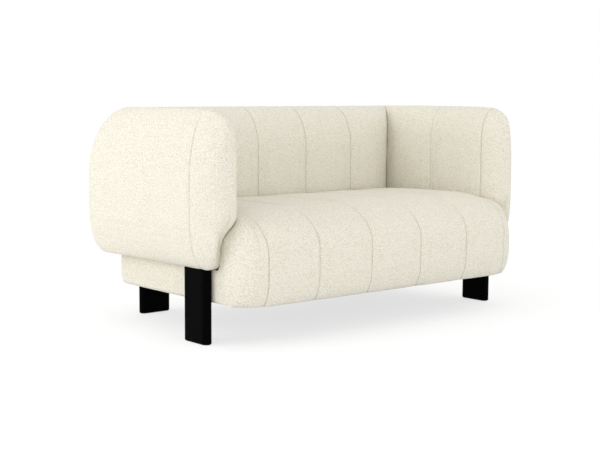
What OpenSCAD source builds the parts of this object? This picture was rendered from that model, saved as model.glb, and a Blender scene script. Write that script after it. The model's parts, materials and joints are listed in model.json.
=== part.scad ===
// Two-seat tuxedo sofa: arms and back of one height wrap a tight, channelled seat on blade legs.
// Lengths are millimetres. X runs across the sofa, Y from front to back, and Z up from the floor.

/* [Overall] */
// Width over the arms
sofa_width = 1500; // [1440:10:1800]
// Depth from the seat's front to the rear of the back
sofa_depth = 910; // [890:5:1000]
// Height of the arms and back above the floor
sofa_height = 770; // [740:5:840]

/* [Seat] */
// Height of the seat's crown
seat_height = 445; // [430:1:460]
// Gap between the floor and the base
base_clearance = 133; // [120:1:138]
// Number of sewn channels across the seat and back
channel_count = 5; // [3:1:7]
// Depth of the valley that a channel seam draws in
channel_depth = 10; // [4:1:14]
// Reach of the rounded front edge over the seat's top
seat_round_reach = 200; // [150:5:240]
// Drop of the rounded front edge down the seat's front
seat_round_drop = 130; // [100:5:150]
// Plan radius of the seat's front corners
front_corner_radius = 120; // [90:5:130]
// Width of the rounded shoulder at each end of the seat
shoulder_reach = 104; // [80:2:116]
// Fall of the shoulder over that width
shoulder_drop = 122; // [90:2:130]

/* [Arms and back] */
// Thickness of each arm
arm_thickness = 155; // [145:1:170]
// Thickness of the back
back_thickness = 277; // [262:2:284]
// Distance that the inner corners lie behind the back's face
corner_setback = 42; // [20:1:50]
// Height of the arms' underside
arm_underside = 248; // [246:1:256]
// Length of each arm's rounded nose
nose_length = 115; // [90:1:125]
// Distance of the nose's tip behind the seat's front
nose_setback = 83; // [75:1:90]
// Plan radius of the outer rear corners
rear_corner_radius = 120; // [100:2:130]
// Distance from an arm's inner face to its crest
crest_reach = 80; // [70:1:86]
// Drop of the rounding on the crest's inner side
crest_inner_drop = 118; // [90:2:140]
// Distance from the back's face to its crest
back_crest_reach = 122; // [90:2:130]
// Drop of the rounding on the back's face
back_crest_drop = 160; // [110:2:170]
// Drop of the rounding on the crest's outer side
crest_outer_drop = 250; // [180:5:260]
// Fall of each arm's crest from its middle seam to its nose
nose_fall = 8; // [0:1:12]

/* [Base and legs] */
// Distance of the base's sides in from the arms' outer faces
base_side_inset = 86; // [80:1:90]
// Distance of the base's rear in from the back's rear face
base_rear_inset = 118; // [110:1:126]
// Plan radius of the base's rear corners
base_corner_radius = 70; // [40:1:76]
// Width of a blade leg
leg_width = 127; // [100:1:140]
// Thickness of a blade leg
leg_thickness = 35; // [28:1:40]
// Distance of the front legs' leading edges behind the seat's front
front_leg_setback = 182; // [170:1:200]
// Distance of the rear legs' outer edges in from the base's sides
rear_leg_inset = 119; // [110:1:150]
// Thickness of the glide under each leg
glide_thickness = 3; // [2:0.5:5]

/* [Frame] */
// Thickness of the timber rails and posts
rail_thickness = 28; // [24:1:30]
// Height of the seat rails
rail_height = 100; // [92:1:102]
// Thickness of the plywood panels
panel_thickness = 3; // [3:0.5:5]
// Number of straps that run from front to back
long_strap_count = 9; // [6:1:11]
// Number of straps that run across the seat
cross_strap_count = 5; // [3:1:6]
// Number of straps across the back
back_strap_count = 5; // [3:1:5]
// Width of a webbing strap
strap_width = 50; // [40:1:60]
// Diameter of the frame and leg bolts
bolt_diameter = 8; // [6:0.5:10]

/* [Hidden] */

// Clearances and small sizes
soft_gap = 0.3;
overrun = 20;
cloth_thickness = 4;
cover_padding = 18;
seat_padding = 26;
seat_rear_fall = 12;
seat_crown_end = 470;
end_seam_inset = 24;
skirt_round_reach = 40;
skirt_round_rise = 96;
recess_depth = 68;
recess_rise = 162;
recess_step = 82;
foot_inner_reach = 16;
ear_gap = 2;
foot_outer_reach = 60;
foot_outer_rise = 150;
crease_depth = 14;
seam_depth = 5;
tip_drop = 78;
corner_crest_reach = 84;
ear_tip_inset = 8;
front_rail_setback = 97;
arm_frame_setback = 193;
arm_frame_rear_gap = 18;
frame_top_depth = 62;
core_front_gap = 5;
core_rear_gap = 12;
back_core_side_gap = 56;
strap_thickness = 2;
underlay_thickness = 3;
batten_size = 28;
cross_rail_height = 60;
block_size = 90;
block_height = 60;
rail_drop = 7;
dust_cover_thickness = 2;
dust_cover_inset = 6;
head_diameter = 15;
head_height = 5;
bore_clearance = 0.25;
insert_wall = 2;
insert_length = 20;
bolt_bite = 18;
frame_bolt_bite = 36;
leg_bolt_rise = 27;
leg_bolt_pitch = 36;
glide_inset = 3;

// Shares of the sizes that they follow
panel_shares = [0, 0.06, 0.16, 0.32, 0.5, 0.68, 0.84, 0.94];
arm_bolt_shares = [0.28, 0.58, 0.88];
back_bolt_shares = [0.15, 0.38, 0.62, 0.85];
cross_rail_shares = [-0.32, 0.32];
back_post_shares = [-1, -0.33, 0.33, 1];
arm_seam_share = 0.465;
ear_rear_shares = [0, 0.2, 0.4, 0.6, 0.8, 1];
limit_share = 0.94;
tip_width_share = 0.08;
valley_power = 3;

// Angles round an arm's nose where its section is drawn, and the seam on its inner side
nose_angles = [77, 64, 50, 38, 27, 18, 9, 0];
nose_seam_angle = 18;
nose_seam_spread = 9;
recess_angle = 30;

// Recess under an arm's nose for the seat's rounded end: shares of its depth and rise, and facing
recess_shares = [
    [1, 0, 225], [0.86, 0.33, 215], [0.6, 0.64, 215], [0.38, 0.79, 215], [0.15, 0.92, 215], [0, 1.02, 180]
];

// Colours
cloth_colour = "#efe9da";
foam_colour = "#f2e2a0";
timber_colour = "#c8a676";
ply_colour = "#d9bd8c";
webbing_colour = "#3d3f45";
leg_colour = "#141414";
steel_colour = "#b9bcc0";
dust_colour = "#232323";

// Planes and centres
half_width = sofa_width / 2;
seat_front_y = -sofa_depth / 2;
rear_y = sofa_depth / 2;
inner_half = half_width - arm_thickness;
back_face_y = rear_y - back_thickness;
inner_corner_y = back_face_y + corner_setback;
base_half = half_width - base_side_inset;
base_rear_y = rear_y - base_rear_inset;
channel_pitch = 2 * inner_half / channel_count;
nose_tip_y = seat_front_y + nose_setback;
nose_start_y = nose_tip_y + nose_length;
arm_centre_x = half_width - arm_thickness / 2;
middle_height = (sofa_height + arm_underside) / 2;
corner_x = half_width - rear_corner_radius;
corner_y = rear_y - rear_corner_radius;
rail_bottom = base_clearance + rail_drop;
rail_top = rail_bottom + rail_height;
strap_top = rail_top + 2 * strap_thickness;
foam_bottom = strap_top + underlay_thickness;
side_rail_x = base_half - cloth_thickness - rail_thickness;
front_rail_y = seat_front_y + front_rail_setback;
rear_rail_y = base_rear_y - cloth_thickness - rail_thickness;
side_rail_end_x = side_rail_x + rail_thickness;
rear_rail_end_y = rear_rail_y + rail_thickness;
border_top = arm_underside - soft_gap;
frame_top = sofa_height - frame_top_depth;
arm_frame_y = seat_front_y + arm_frame_setback;
arm_frame_end_y = inner_corner_y - arm_frame_rear_gap;
arm_frame_length = arm_frame_end_y - arm_frame_y;
back_frame_half = inner_half - back_core_side_gap;
core_front_y = arm_frame_y - core_front_gap;
core_rear_y = inner_corner_y - core_rear_gap;
ear_half = base_half - ear_tip_inset;
bore_radius = bolt_diameter / 2 + bore_clearance;
insert_radius = bolt_diameter / 2 + insert_wall;
front_leg_y = seat_front_y + front_leg_setback;
rear_leg_reach = base_half - rear_leg_inset;
leg_height = border_top - glide_thickness;

// Helpers

function ellipse_point(centre, reach, rise, angle) =
    [centre.x + reach * cos(angle), centre.y + rise * sin(angle)];

function valley(distance, half_span) = pow(1 - min(1, abs(distance) / half_span), valley_power);

// Triangles across a loop, between its points counted from the start and from the end
function strip_faces(count) = [
    for (i = [0 : ceil(count / 2) - 2])
        let (j = count - 1 - i)
        each (i + 1 < j - 1 ? [[i, i + 1, j], [i + 1, j - 1, j]] : [[i, i + 1, j]])
];

// A solid over equal loops of points, with its ends closed by the given faces of one loop.
module loft(loops, end_faces) {
    count = len(loops[0]);
    last = len(loops) - 1;
    sides = [
        for (s = [0 : last - 1], i = [0 : count - 1])
            let (
                a = s * count + i,
                b = s * count + (i + 1) % count,
                c = a + count,
                d = b + count
            )
            each [[a, c, d], [a, d, b]]
    ];
    last_faces = [
        for (face = end_faces) [
            for (i = [0 : len(face) - 1]) last * count + face[(len(face) - i) % len(face)]
        ]
    ];
    polyhedron([for (loop = loops) each loop], concat(sides, end_faces, last_faces));
}

module box(low, high) {
    translate(low) cube(high - low);
}

// Extrudes an outline of depths and heights along X.
module extrude_across(from_x, to_x) {
    translate([from_x, 0, 0]) rotate([90, 0, 90]) linear_extrude(to_x - from_x) children();
}

// Extrudes an outline of widths and heights along Y.
module extrude_back(from_y, to_y) {
    translate([0, to_y, 0]) rotate([90, 0, 0]) linear_extrude(to_y - from_y) children();
}

module left_side() {
    mirror([1, 0, 0]) children();
}

// Seat

function corner_recess(x) =
    let (past = abs(x) - (base_half - front_corner_radius))
    past <= 0 ? 0 : front_corner_radius - sqrt(pow(front_corner_radius, 2) - pow(past, 2));

function shoulder_fall(x) =
    let (past = (abs(x) - (base_half - shoulder_reach)) / shoulder_reach)
    past <= 0 ? 0 : shoulder_drop * (1 - sqrt(1 - pow(past, 2)));

// Seams of the seat: one channel apart, with the end ones just inside the arms
function seat_seam(i) =
    let (side = i == 0 ? 1 : i == channel_count ? -1 : 0)
    i * channel_pitch - inner_half + side * end_seam_inset;

function channel_fall(x) =
    let (turns = (abs(x) + inner_half) / channel_pitch)
    channel_depth * valley((turns - round(turns)) * channel_pitch, channel_pitch / 2);

function seat_channel_fall(x) = channel_depth
    * max([for (i = [0 : channel_count]) valley(x - seat_seam(i), channel_pitch / 2)]);

// Section of the seat at one place across the sofa, from its rear foot round the front and over the top.
// The rear line is a list of [depth, share of the way down from the top to the deck].
function seat_loop(x, rear_line) =
    let (
        front = seat_front_y + corner_recess(x) + seat_channel_fall(x),
        top = seat_height - shoulder_fall(x) - seat_channel_fall(x),
        rear = rear_line[0],
        reach = min(seat_round_reach, limit_share * (rear - front)),
        drop = min(seat_round_drop, limit_share * (top - base_clearance - skirt_round_rise)),
        skirt_reach = min(skirt_round_reach, limit_share * (front_rail_y - front)),
        crown_end = min(seat_front_y + seat_crown_end, front + reach + (rear - front - reach) / 2),
        rear_top = top - seat_rear_fall * (rear - front) / (back_face_y - seat_front_y),
        outline = concat(
            [[front_rail_y, foam_bottom], [front_rail_y, base_clearance]],
            [for (a = [270 : -30 : 180])
                ellipse_point([front + skirt_reach, base_clearance + skirt_round_rise],
                    skirt_reach, skirt_round_rise, a)],
            [for (a = [180 : -15 : 90])
                ellipse_point([front + reach, top - drop], reach, drop, a)],
            [[crown_end, top - (top - rear_top) / 4]],
            [for (i = [0 : len(rear_line) - 1])
                [rear_line[i], rear_top + ear_rear_shares[i] * (foam_bottom - rear_top)]]
        )
    )
    [for (p = outline) [x, p.x, p.y]];

function seat_places() = concat(
    [inner_half - 2 * soft_gap],
    [
        for (i = [channel_count : -1 : 1], share = panel_shares)
            seat_seam(i) + share * (seat_seam(i - 1) - seat_seam(i))
    ],
    [seat_seam(0), -inner_half + 2 * soft_gap]
);

// Depth of the back's face, which turns back towards the inner corners
function face_y(x) =
    back_face_y + corner_setback * valley(inner_half - min(inner_half, abs(x)), channel_pitch / 2);

recess_table = [for (s = recess_shares) [arm_underside + s[1] * recess_rise, s[0] * recess_depth]];

// How far the nose is drawn in at a height, to make room for the seat's end
function recess_at(z) = lookup(z, recess_table);

// Depth of the nose's surface, at a width and height inside its outline
function nose_depth(x, z) =
    let (
        narrow = arm_thickness / 2 - recess_at(z),
        across = min(cos(recess_angle), (arm_centre_x - x) / narrow)
    )
    nose_start_y - (nose_length - recess_step / recess_depth * recess_at(z)) * sqrt(1 - pow(across, 2));

function ear_loop(side, angle) =
    let (
        x = arm_centre_x - arm_thickness / 2 * cos(angle),
        top = seat_height - shoulder_fall(x) - seat_channel_fall(x) - seat_rear_fall / 4,
        own = nose_start_y - nose_length * sin(angle),
        line = [
            for (share = ear_rear_shares)
                (share == 0 && angle < recess_angle ? own
                    : nose_depth(x, top + share * (foam_bottom - top))) - ear_gap
        ]
    )
    seat_loop(side * (x - soft_gap), line);

function ear_loops(side) = [
    for (angle = nose_angles)
        if (arm_centre_x - arm_thickness / 2 * cos(angle) < ear_half) ear_loop(side, angle)
];

function reversed(list) = [for (i = [len(list) - 1 : -1 : 0]) list[i]];

// The same section as the foam core, one padding in from the crowns
function seat_core_outline() =
    let (
        front = seat_front_y + seat_padding,
        top = seat_height - seat_padding,
        reach = seat_round_reach - seat_padding,
        drop = seat_round_drop - seat_padding,
        skirt_reach = skirt_round_reach - seat_padding / 2,
        low = base_clearance + seat_padding,
        rise = skirt_round_rise - seat_padding
    )
    concat(
        [[front_rail_y, low]],
        [for (a = [270 : -30 : 180]) ellipse_point([front + skirt_reach, low + rise], skirt_reach, rise, a)],
        [for (a = [180 : -10 : 90]) ellipse_point([front + reach, top - drop], reach, drop, a)],
        [[back_face_y - seat_padding, top], [back_face_y - seat_padding, foam_bottom], [front_rail_y, foam_bottom]]
    );

module seat_core(half) {
    extrude_across(-half, half) polygon(seat_core_outline());
}

module seat_core_openings(half) {
    box([-half, front_rail_y - overrun, base_clearance + seat_padding],
        [half, front_rail_y + overrun, foam_bottom]);
    box([-half, front_rail_y - overrun, foam_bottom - overrun],
        [half, back_face_y - seat_padding, foam_bottom + overrun]);
}

module seat_cover() {
    core_half = inner_half - seat_padding;
    middle = [
        for (x = seat_places()) seat_loop(x, [for (share = ear_rear_shares) face_y(x) - soft_gap])
    ];
    end_face = [for (i = [0 : len(middle[0]) - 1]) i];
    color(cloth_colour) difference() {
        loft(concat(ear_loops(1), middle, reversed(ear_loops(-1))), [end_face]);
        seat_core(core_half);
        seat_core_openings(core_half);
    }
}

module seat_foam() {
    core_half = inner_half - seat_padding;
    color(foam_colour) intersection() {
        seat_core(core_half);
        box([-core_half, front_rail_y, foam_bottom], [core_half, rear_y, seat_height]);
    }
}

module seat_front_foam() {
    core_half = inner_half - seat_padding;
    color(foam_colour) intersection() {
        seat_core(core_half);
        box([-core_half, seat_front_y, base_clearance], [core_half, front_rail_y, seat_height]);
    }
}

// Arms and back

// One point of the wrap's section: distance from the inner face, height, outward direction, inner share.
function wrap_point(centre, reach, rise, angle, inner_share) =
    concat(ellipse_point(centre, reach, rise, angle), [cos(angle), sin(angle), inner_share]);

function wrap_outline(thickness, crest, drop, recess_share) = concat(
    [for (s = recess_shares)
        [(foot_inner_reach + (recess_depth - foot_inner_reach) * recess_share) * s[0],
            arm_underside + s[1] * recess_rise, cos(s[2]), sin(s[2]), 1]],
    [for (a = [180 : -18 : 90])
        wrap_point([crest, sofa_height - drop], crest, drop, a, 1)],
    [for (a = [75 : -15 : 0])
        wrap_point([crest, sofa_height - crest_outer_drop],
            thickness - crest, crest_outer_drop, a, max(0, (a - 30) / 60))],
    [for (a = [0 : -22.5 : -90])
        wrap_point([thickness - foot_outer_reach, arm_underside + foot_outer_rise],
            foot_outer_reach, foot_outer_rise, a, 0)]
);

function drawn_in(p, inner_fall, outer_fall) =
    let (fall = inner_fall * p[4] + outer_fall * (1 - p[4]))
    [p[0] - fall * p[2], p[1] - fall * p[3]];

// Section of the wrap between a point on its inner face and one on its outer face
function wrap_loop(inner, outer, crest, drop, inner_fall, outer_fall, crest_fall) =
    let (thickness = norm(outer - inner), along = (outer - inner) / thickness)
    [
        for (p = wrap_outline(thickness, crest, drop, 0))
            let (q = drawn_in(p, inner_fall, outer_fall), place = inner + along * q.x)
            [place.x, place.y, lowered(q.y, crest_fall)]
    ];

// A height after the crest has come down by a fall, with the lower half left alone
function lowered(z, fall) =
    z < middle_height ? z : middle_height + (z - middle_height) * (1 - fall / (sofa_height - middle_height));

// Section of an arm's nose, which narrows and lowers towards its tip
function nose_loop(angle, width_share, inner_fall, outer_fall) =
    let (
        fall = nose_fall + tip_drop * (1 - width_share),
        recess_share = min(1, sin(angle) / sin(recess_angle))
    )
    [
        for (p = wrap_outline(arm_thickness, crest_reach, crest_inner_drop, recess_share))
            let (
                q = drawn_in(p, inner_fall, outer_fall),
                reach = nose_length - recess_step / recess_depth * recess_at(q.y)
            )
            [
                arm_centre_x + (q.x - arm_thickness / 2) * width_share,
                nose_start_y - reach * sin(angle),
                lowered(q.y, fall)
            ]
    ];

// A place on the outer plan line, measured from where the sections start to fan round the corner
function fan_point(start, side_length, run) =
    let (
        angle = (run - side_length) / rear_corner_radius * 180 / PI
    )
    run <= side_length ? [half_width, start + run]
        : [corner_x + rear_corner_radius * cos(angle), corner_y + rear_corner_radius * sin(angle)];

arc_half = rear_corner_radius * PI / 4;
arm_seam_y = nose_start_y + arm_seam_share * (inner_corner_y - nose_start_y);
arm_side_length = corner_y - arm_seam_y;

function arm_main_loop(y, seam_start, seam_end) =
    let (
        half_span = (seam_end - seam_start) / 2,
        low_fall = seam_start == nose_start_y ? 0 : channel_depth * valley(y - seam_start, half_span),
        high_fall = (seam_end == inner_corner_y ? crease_depth : channel_depth)
            * valley(seam_end - y, half_span),
        share = max(0, (y - arm_seam_y) / (inner_corner_y - arm_seam_y)),
        front_share = max(0, (arm_seam_y - y) / (arm_seam_y - nose_start_y)),
        outer = share == 0 ? [half_width, y]
            : fan_point(arm_seam_y, arm_side_length, share * (arm_side_length + arc_half)),
        outer_fall = seam_depth * valley(y - nose_start_y, half_span / 2),
        crest = crest_reach + share * (corner_crest_reach - crest_reach)
    )
    wrap_loop([inner_half, y], outer, crest, crest_inner_drop, low_fall + high_fall, outer_fall,
        nose_fall * pow(front_share, 2));

function arm_loops() = concat(
    [nose_loop(90, tip_width_share, 0, 0)],
    [for (a = nose_angles)
        if (a > 0)
            nose_loop(a, cos(a), channel_depth * valley(a - nose_seam_angle, 2 * nose_seam_spread),
                seam_depth * valley(a, 2 * nose_seam_spread))],
    [for (share = panel_shares)
        arm_main_loop(nose_start_y + share * (arm_seam_y - nose_start_y), nose_start_y, arm_seam_y)],
    [for (share = concat(panel_shares, [1]))
        arm_main_loop(arm_seam_y + share * (inner_corner_y - arm_seam_y), arm_seam_y, inner_corner_y)]
);

fan_start_x = inner_half - channel_pitch;
back_side_length = corner_x - fan_start_x;

// The outer plan line behind the back's end channels, turned to run along X
function back_outer_point(x) =
    let (
        share = max(0, (abs(x) - fan_start_x) / (inner_half - fan_start_x)),
        run = share * (back_side_length + arc_half),
        angle = 90 - (run - back_side_length) / rear_corner_radius * 180 / PI,
        side = x < 0 ? -1 : 1
    )
    share == 0 ? [x, rear_y]
        : run <= back_side_length ? [side * (fan_start_x + run), rear_y]
        : [side * (corner_x + rear_corner_radius * cos(angle)),
            corner_y + rear_corner_radius * sin(angle)];

function back_loop(x) =
    let (
        share = max(0, (abs(x) - fan_start_x) / (inner_half - fan_start_x)),
        crease = (crease_depth - channel_depth) * valley(inner_half - abs(x), channel_pitch / 2)
    )
    wrap_loop([x, face_y(x)], back_outer_point(x),
        back_crest_reach + share * (corner_crest_reach - back_crest_reach),
        back_crest_drop + share * (crest_inner_drop - back_crest_drop), channel_fall(x) + crease, 0, 0);

function core_outline(thickness, crest, drop) = [
    for (p = wrap_outline(thickness, crest, drop, 0)) drawn_in(p, cover_padding, cover_padding)
];

arm_slot_x = side_rail_x - panel_thickness;
arm_slot_end_x = side_rail_end_x + panel_thickness;

// Foam envelope of an arm, with a rear end that follows the mitre
module arm_core() {
    intersection() {
        extrude_back(core_front_y, rear_y)
            translate([inner_half, 0]) polygon(core_outline(arm_thickness, crest_reach, crest_inner_drop));
        linear_extrude(sofa_height) polygon([
            [inner_half, core_front_y],
            [half_width, core_front_y],
            [half_width, core_rear_y + arm_thickness],
            [inner_half, core_rear_y]
        ]);
    }
}

module arm_frame_space(low) {
    box([arm_slot_x, arm_frame_y, low], [arm_slot_end_x, arm_frame_end_y, frame_top]);
}

module arm_cover() {
    loops = arm_loops();
    color(cloth_colour) difference() {
        loft(loops, strip_faces(len(loops[0])));
        arm_core();
        arm_frame_space(arm_underside - overrun);
    }
}

module arm_foam() {
    color(foam_colour) difference() {
        arm_core();
        arm_frame_space(arm_underside - overrun);
    }
}

module arm_bottom_rail() {
    color(timber_colour) difference() {
        box([side_rail_x, arm_frame_y, rail_top],
            [side_rail_end_x, arm_frame_end_y, rail_top + rail_thickness]);
        arm_bolt_places() bolt_bore();
    }
}

module arm_post(y) {
    color(timber_colour) box([side_rail_x, y, rail_top + rail_thickness],
        [side_rail_end_x, y + rail_thickness, frame_top - rail_thickness]);
}

module arm_top_rail() {
    color(timber_colour) box([side_rail_x, arm_frame_y, frame_top - rail_thickness],
        [side_rail_end_x, arm_frame_end_y, frame_top]);
}

module arm_panel(x) {
    color(ply_colour) box([x, arm_frame_y, arm_underside],
        [x + panel_thickness, arm_frame_end_y, frame_top]);
}

back_slot_y = rear_rail_y - strap_thickness;
back_slot_end_y = rear_rail_end_y + panel_thickness;

module back_core() {
    extrude_across(-back_frame_half, back_frame_half)
        translate([back_face_y, 0]) polygon(core_outline(back_thickness, back_crest_reach, back_crest_drop));
}

module back_frame_space(low) {
    box([-back_frame_half, back_slot_y, low], [back_frame_half, back_slot_end_y, frame_top]);
}

module back_cover() {
    loops = [for (x = seat_places()) back_loop(x)];
    color(cloth_colour) difference() {
        loft(loops, strip_faces(len(loops[0])));
        back_core();
        back_frame_space(arm_underside - overrun);
    }
}

module back_foam() {
    color(foam_colour) difference() {
        back_core();
        back_frame_space(arm_underside - overrun);
    }
}

module back_bottom_rail() {
    color(timber_colour) difference() {
        box([-back_frame_half, rear_rail_y, rail_top],
            [back_frame_half, rear_rail_end_y, rail_top + rail_thickness]);
        back_bolt_places() bolt_bore();
    }
}

module back_posts() {
    travel = back_frame_half - rail_thickness / 2;
    color(timber_colour) for (share = back_post_shares) {
        x = share * travel - rail_thickness / 2;
        box([x, rear_rail_y, rail_top + rail_thickness],
            [x + rail_thickness, rear_rail_end_y, frame_top - rail_thickness]);
    }
}

module back_top_rail() {
    color(timber_colour) box([-back_frame_half, rear_rail_y, frame_top - rail_thickness],
        [back_frame_half, rear_rail_end_y, frame_top]);
}

module back_straps() {
    low = rail_top + rail_thickness;
    pitch = (frame_top - low) / back_strap_count;
    color(webbing_colour) for (i = [0 : back_strap_count - 1]) {
        z = low + (i + 0.5) * pitch - strap_width / 2;
        box([-back_frame_half, back_slot_y, z], [back_frame_half, rear_rail_y, z + strap_width]);
    }
}

module back_outer_panel() {
    color(ply_colour) box([-back_frame_half, rear_rail_end_y, arm_underside],
        [back_frame_half, back_slot_end_y, frame_top]);
}

// Base

// Plan of the base, with round corners, drawn in by an inset
module base_plan(inset) {
    half = base_half - inset;
    front = seat_front_y + inset;
    rear = base_rear_y - inset;
    front_radius = front_corner_radius - inset;
    rear_radius = base_corner_radius - inset;
    front_x = half - front_radius;
    rear_x = half - rear_radius;
    translate([-half, front + front_radius])
        square([2 * half, rear - rear_radius - front - front_radius]);
    translate([-front_x, front]) square([2 * front_x, front_radius]);
    translate([-rear_x, rear - rear_radius]) square([2 * rear_x, rear_radius]);
    for (side = [-1, 1]) {
        translate([side * front_x, front + front_radius]) circle(front_radius, $fn = 96);
        translate([side * rear_x, rear - rear_radius]) circle(rear_radius, $fn = 96);
    }
}

// A rail between two plan corners, kept inside the cloth of the base
module seat_rail(low, high) {
    translate([0, 0, rail_bottom]) linear_extrude(rail_height) intersection() {
        base_plan(cloth_thickness);
        translate(low) square(high - low);
    }
}

module seat_side_rail() {
    color(timber_colour) difference() {
        seat_rail([side_rail_x, front_rail_y], [side_rail_end_x, rear_rail_end_y]);
        front_leg_bolt_places() leg_bolt_bore();
        arm_bolt_places() bolt_bore();
    }
}

module seat_front_rail() {
    color(timber_colour) seat_rail([-side_rail_x, front_rail_y],
        [side_rail_x, front_rail_y + rail_thickness]);
}

module seat_rear_rail() {
    color(timber_colour) difference() {
        seat_rail([-side_rail_x, rear_rail_y], [side_rail_x, rear_rail_end_y]);
        both_sides() rear_leg_bolt_places() leg_bolt_bore();
        back_bolt_places() bolt_bore();
    }
}

module seat_cross_rails() {
    color(timber_colour) for (share = cross_rail_shares) {
        x = share * side_rail_x - rail_thickness / 2;
        box([x, front_rail_y + rail_thickness, rail_bottom],
            [x + rail_thickness, rear_rail_y, rail_bottom + cross_rail_height]);
    }
}

module corner_block() {
    linear_extrude(block_height) polygon([[0, 0], [-block_size, 0], [0, block_size]]);
}

module seat_corner_blocks() {
    color(timber_colour) both_sides() {
        translate([side_rail_x, front_rail_y + rail_thickness, rail_bottom]) corner_block();
        translate([side_rail_x, rear_rail_y, rail_bottom]) mirror([0, 1, 0]) corner_block();
    }
}

module webbing_battens() {
    front = front_rail_y + rail_thickness;
    color(timber_colour) {
        both_sides() box([side_rail_x - batten_size, front, rail_top - batten_size],
            [side_rail_x, rear_rail_y, rail_top]);
        box([-side_rail_x + batten_size, rear_rail_y - batten_size, rail_top - batten_size],
            [side_rail_x - batten_size, rear_rail_y, rail_top]);
    }
}

module seat_straps_long() {
    pitch = 2 * (side_rail_x - batten_size) / long_strap_count;
    color(webbing_colour) for (i = [0 : long_strap_count - 1]) {
        x = (i + 0.5) * pitch - side_rail_x + batten_size - strap_width / 2;
        box([x, front_rail_y, rail_top], [x + strap_width, rear_rail_y, rail_top + strap_thickness]);
    }
}

module seat_straps_cross() {
    front = front_rail_y + rail_thickness;
    pitch = (rear_rail_y - batten_size - front) / cross_strap_count;
    color(webbing_colour) for (i = [0 : cross_strap_count - 1]) {
        y = front + (i + 0.5) * pitch - strap_width / 2;
        box([-side_rail_x, y, rail_top + strap_thickness], [side_rail_x, y + strap_width, strap_top]);
    }
}

module seat_underlay() {
    color(webbing_colour) box([-inner_half, front_rail_y, strap_top],
        [inner_half, back_face_y, foam_bottom]);
}

// One cloth border of the base: the plan's outermost layer between two depths
module base_border(low, high) {
    translate([0, 0, base_clearance]) linear_extrude(border_top - base_clearance) intersection() {
        difference() {
            base_plan(0);
            base_plan(cloth_thickness);
        }
        translate(low) square(high - low);
    }
}

module base_border_side() {
    color(cloth_colour) difference() {
        base_border([side_rail_x, front_rail_y], [half_width, base_rear_y - base_corner_radius]);
        front_leg_bolt_places() leg_bolt_bore();
    }
}

module base_border_rear() {
    color(cloth_colour) difference() {
        base_border([-half_width, base_rear_y - base_corner_radius], [half_width, rear_y]);
        both_sides() rear_leg_bolt_places() leg_bolt_bore();
    }
}

module dust_cover() {
    color(dust_colour) translate([0, 0, rail_bottom - dust_cover_thickness])
        linear_extrude(dust_cover_thickness) intersection() {
            base_plan(dust_cover_inset);
            translate([-half_width, front_rail_y]) square([sofa_width, sofa_depth]);
        }
}

// Legs

// A blade with round edges, its width along Y
module blade(width, thickness, height) {
    radius = thickness / 2;
    linear_extrude(height) {
        translate([-radius, radius]) square([thickness, width - thickness]);
        translate([0, radius]) circle(radius, $fn = 64);
        translate([0, width - radius]) circle(radius, $fn = 64);
    }
}

module front_leg_place() {
    translate([base_half + leg_thickness / 2, front_leg_y, 0]) children();
}

module rear_leg_place() {
    translate([rear_leg_reach, base_rear_y + leg_thickness / 2, 0]) rotate([0, 0, 90]) children();
}

module leg_body() {
    translate([0, 0, glide_thickness]) blade(leg_width, leg_thickness, leg_height);
}

module glide() {
    translate([0, glide_inset, 0])
        blade(leg_width - 2 * glide_inset, leg_thickness - 2 * glide_inset, glide_thickness);
}

module insert_bore() {
    rotate([0, 90, 0]) cylinder(r = insert_radius, h = insert_length, $fn = 48);
}

module front_leg() {
    color(leg_colour) difference() {
        front_leg_place() leg_body();
        front_leg_bolt_places() insert_bore();
    }
}

module rear_leg() {
    color(leg_colour) difference() {
        rear_leg_place() leg_body();
        rear_leg_bolt_places() insert_bore();
    }
}

// Fasteners

module both_sides() {
    children();
    mirror([1, 0, 0]) children();
}

// Both bolts of a front leg, each along X with its place at the leg's inner face
module front_leg_bolt_places() {
    for (i = [0, 1])
        translate([base_half, front_leg_y + leg_width / 2, rail_bottom + leg_bolt_rise + i * leg_bolt_pitch])
            children();
}

// Both bolts of a rear leg, turned to run along Y
module rear_leg_bolt_places() {
    for (i = [0, 1])
        translate([rear_leg_reach - leg_width / 2, base_rear_y, rail_bottom + leg_bolt_rise + i * leg_bolt_pitch])
            rotate([0, 0, 90]) children();
}

module leg_bolt_bore() {
    grip = rail_thickness + cloth_thickness;
    translate([-grip - overrun, 0, 0]) rotate([0, 90, 0])
        cylinder(r = bore_radius, h = grip + 2 * overrun, $fn = 48);
}

module leg_bolt() {
    grip = rail_thickness + cloth_thickness;
    translate([-grip, 0, 0]) rotate([0, 90, 0])
        cylinder(d = bolt_diameter, h = grip + bolt_bite, $fn = 48);
    translate([-grip - head_height, 0, 0]) rotate([0, 90, 0])
        cylinder(d = head_diameter, h = head_height, $fn = 48);
}

module leg_insert() {
    rotate([0, 90, 0]) difference() {
        cylinder(r = insert_radius, h = insert_length, $fn = 48);
        cylinder(d = bolt_diameter, h = bolt_bite, $fn = 48);
    }
}

module leg_bolts() {
    color(steel_colour) both_sides() {
        front_leg_bolt_places() leg_bolt();
        rear_leg_bolt_places() leg_bolt();
    }
}

module leg_inserts() {
    color(steel_colour) both_sides() {
        front_leg_bolt_places() leg_insert();
        rear_leg_bolt_places() leg_insert();
    }
}

// Bolts that hold an arm's frame down on the side rail
module arm_bolt_places() {
    for (share = arm_bolt_shares)
        translate([side_rail_x + rail_thickness / 2, arm_frame_y + share * arm_frame_length, rail_top])
            children();
}

// Bolts that hold the back's frame down on the rear rail
module back_bolt_places() {
    for (share = back_bolt_shares)
        translate([(2 * share - 1) * back_frame_half, rear_rail_y + rail_thickness / 2, rail_top])
            children();
}

module bolt_bore() {
    translate([0, 0, -frame_bolt_bite])
        cylinder(r = bore_radius, h = frame_bolt_bite + rail_thickness + overrun, $fn = 48);
}

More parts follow.
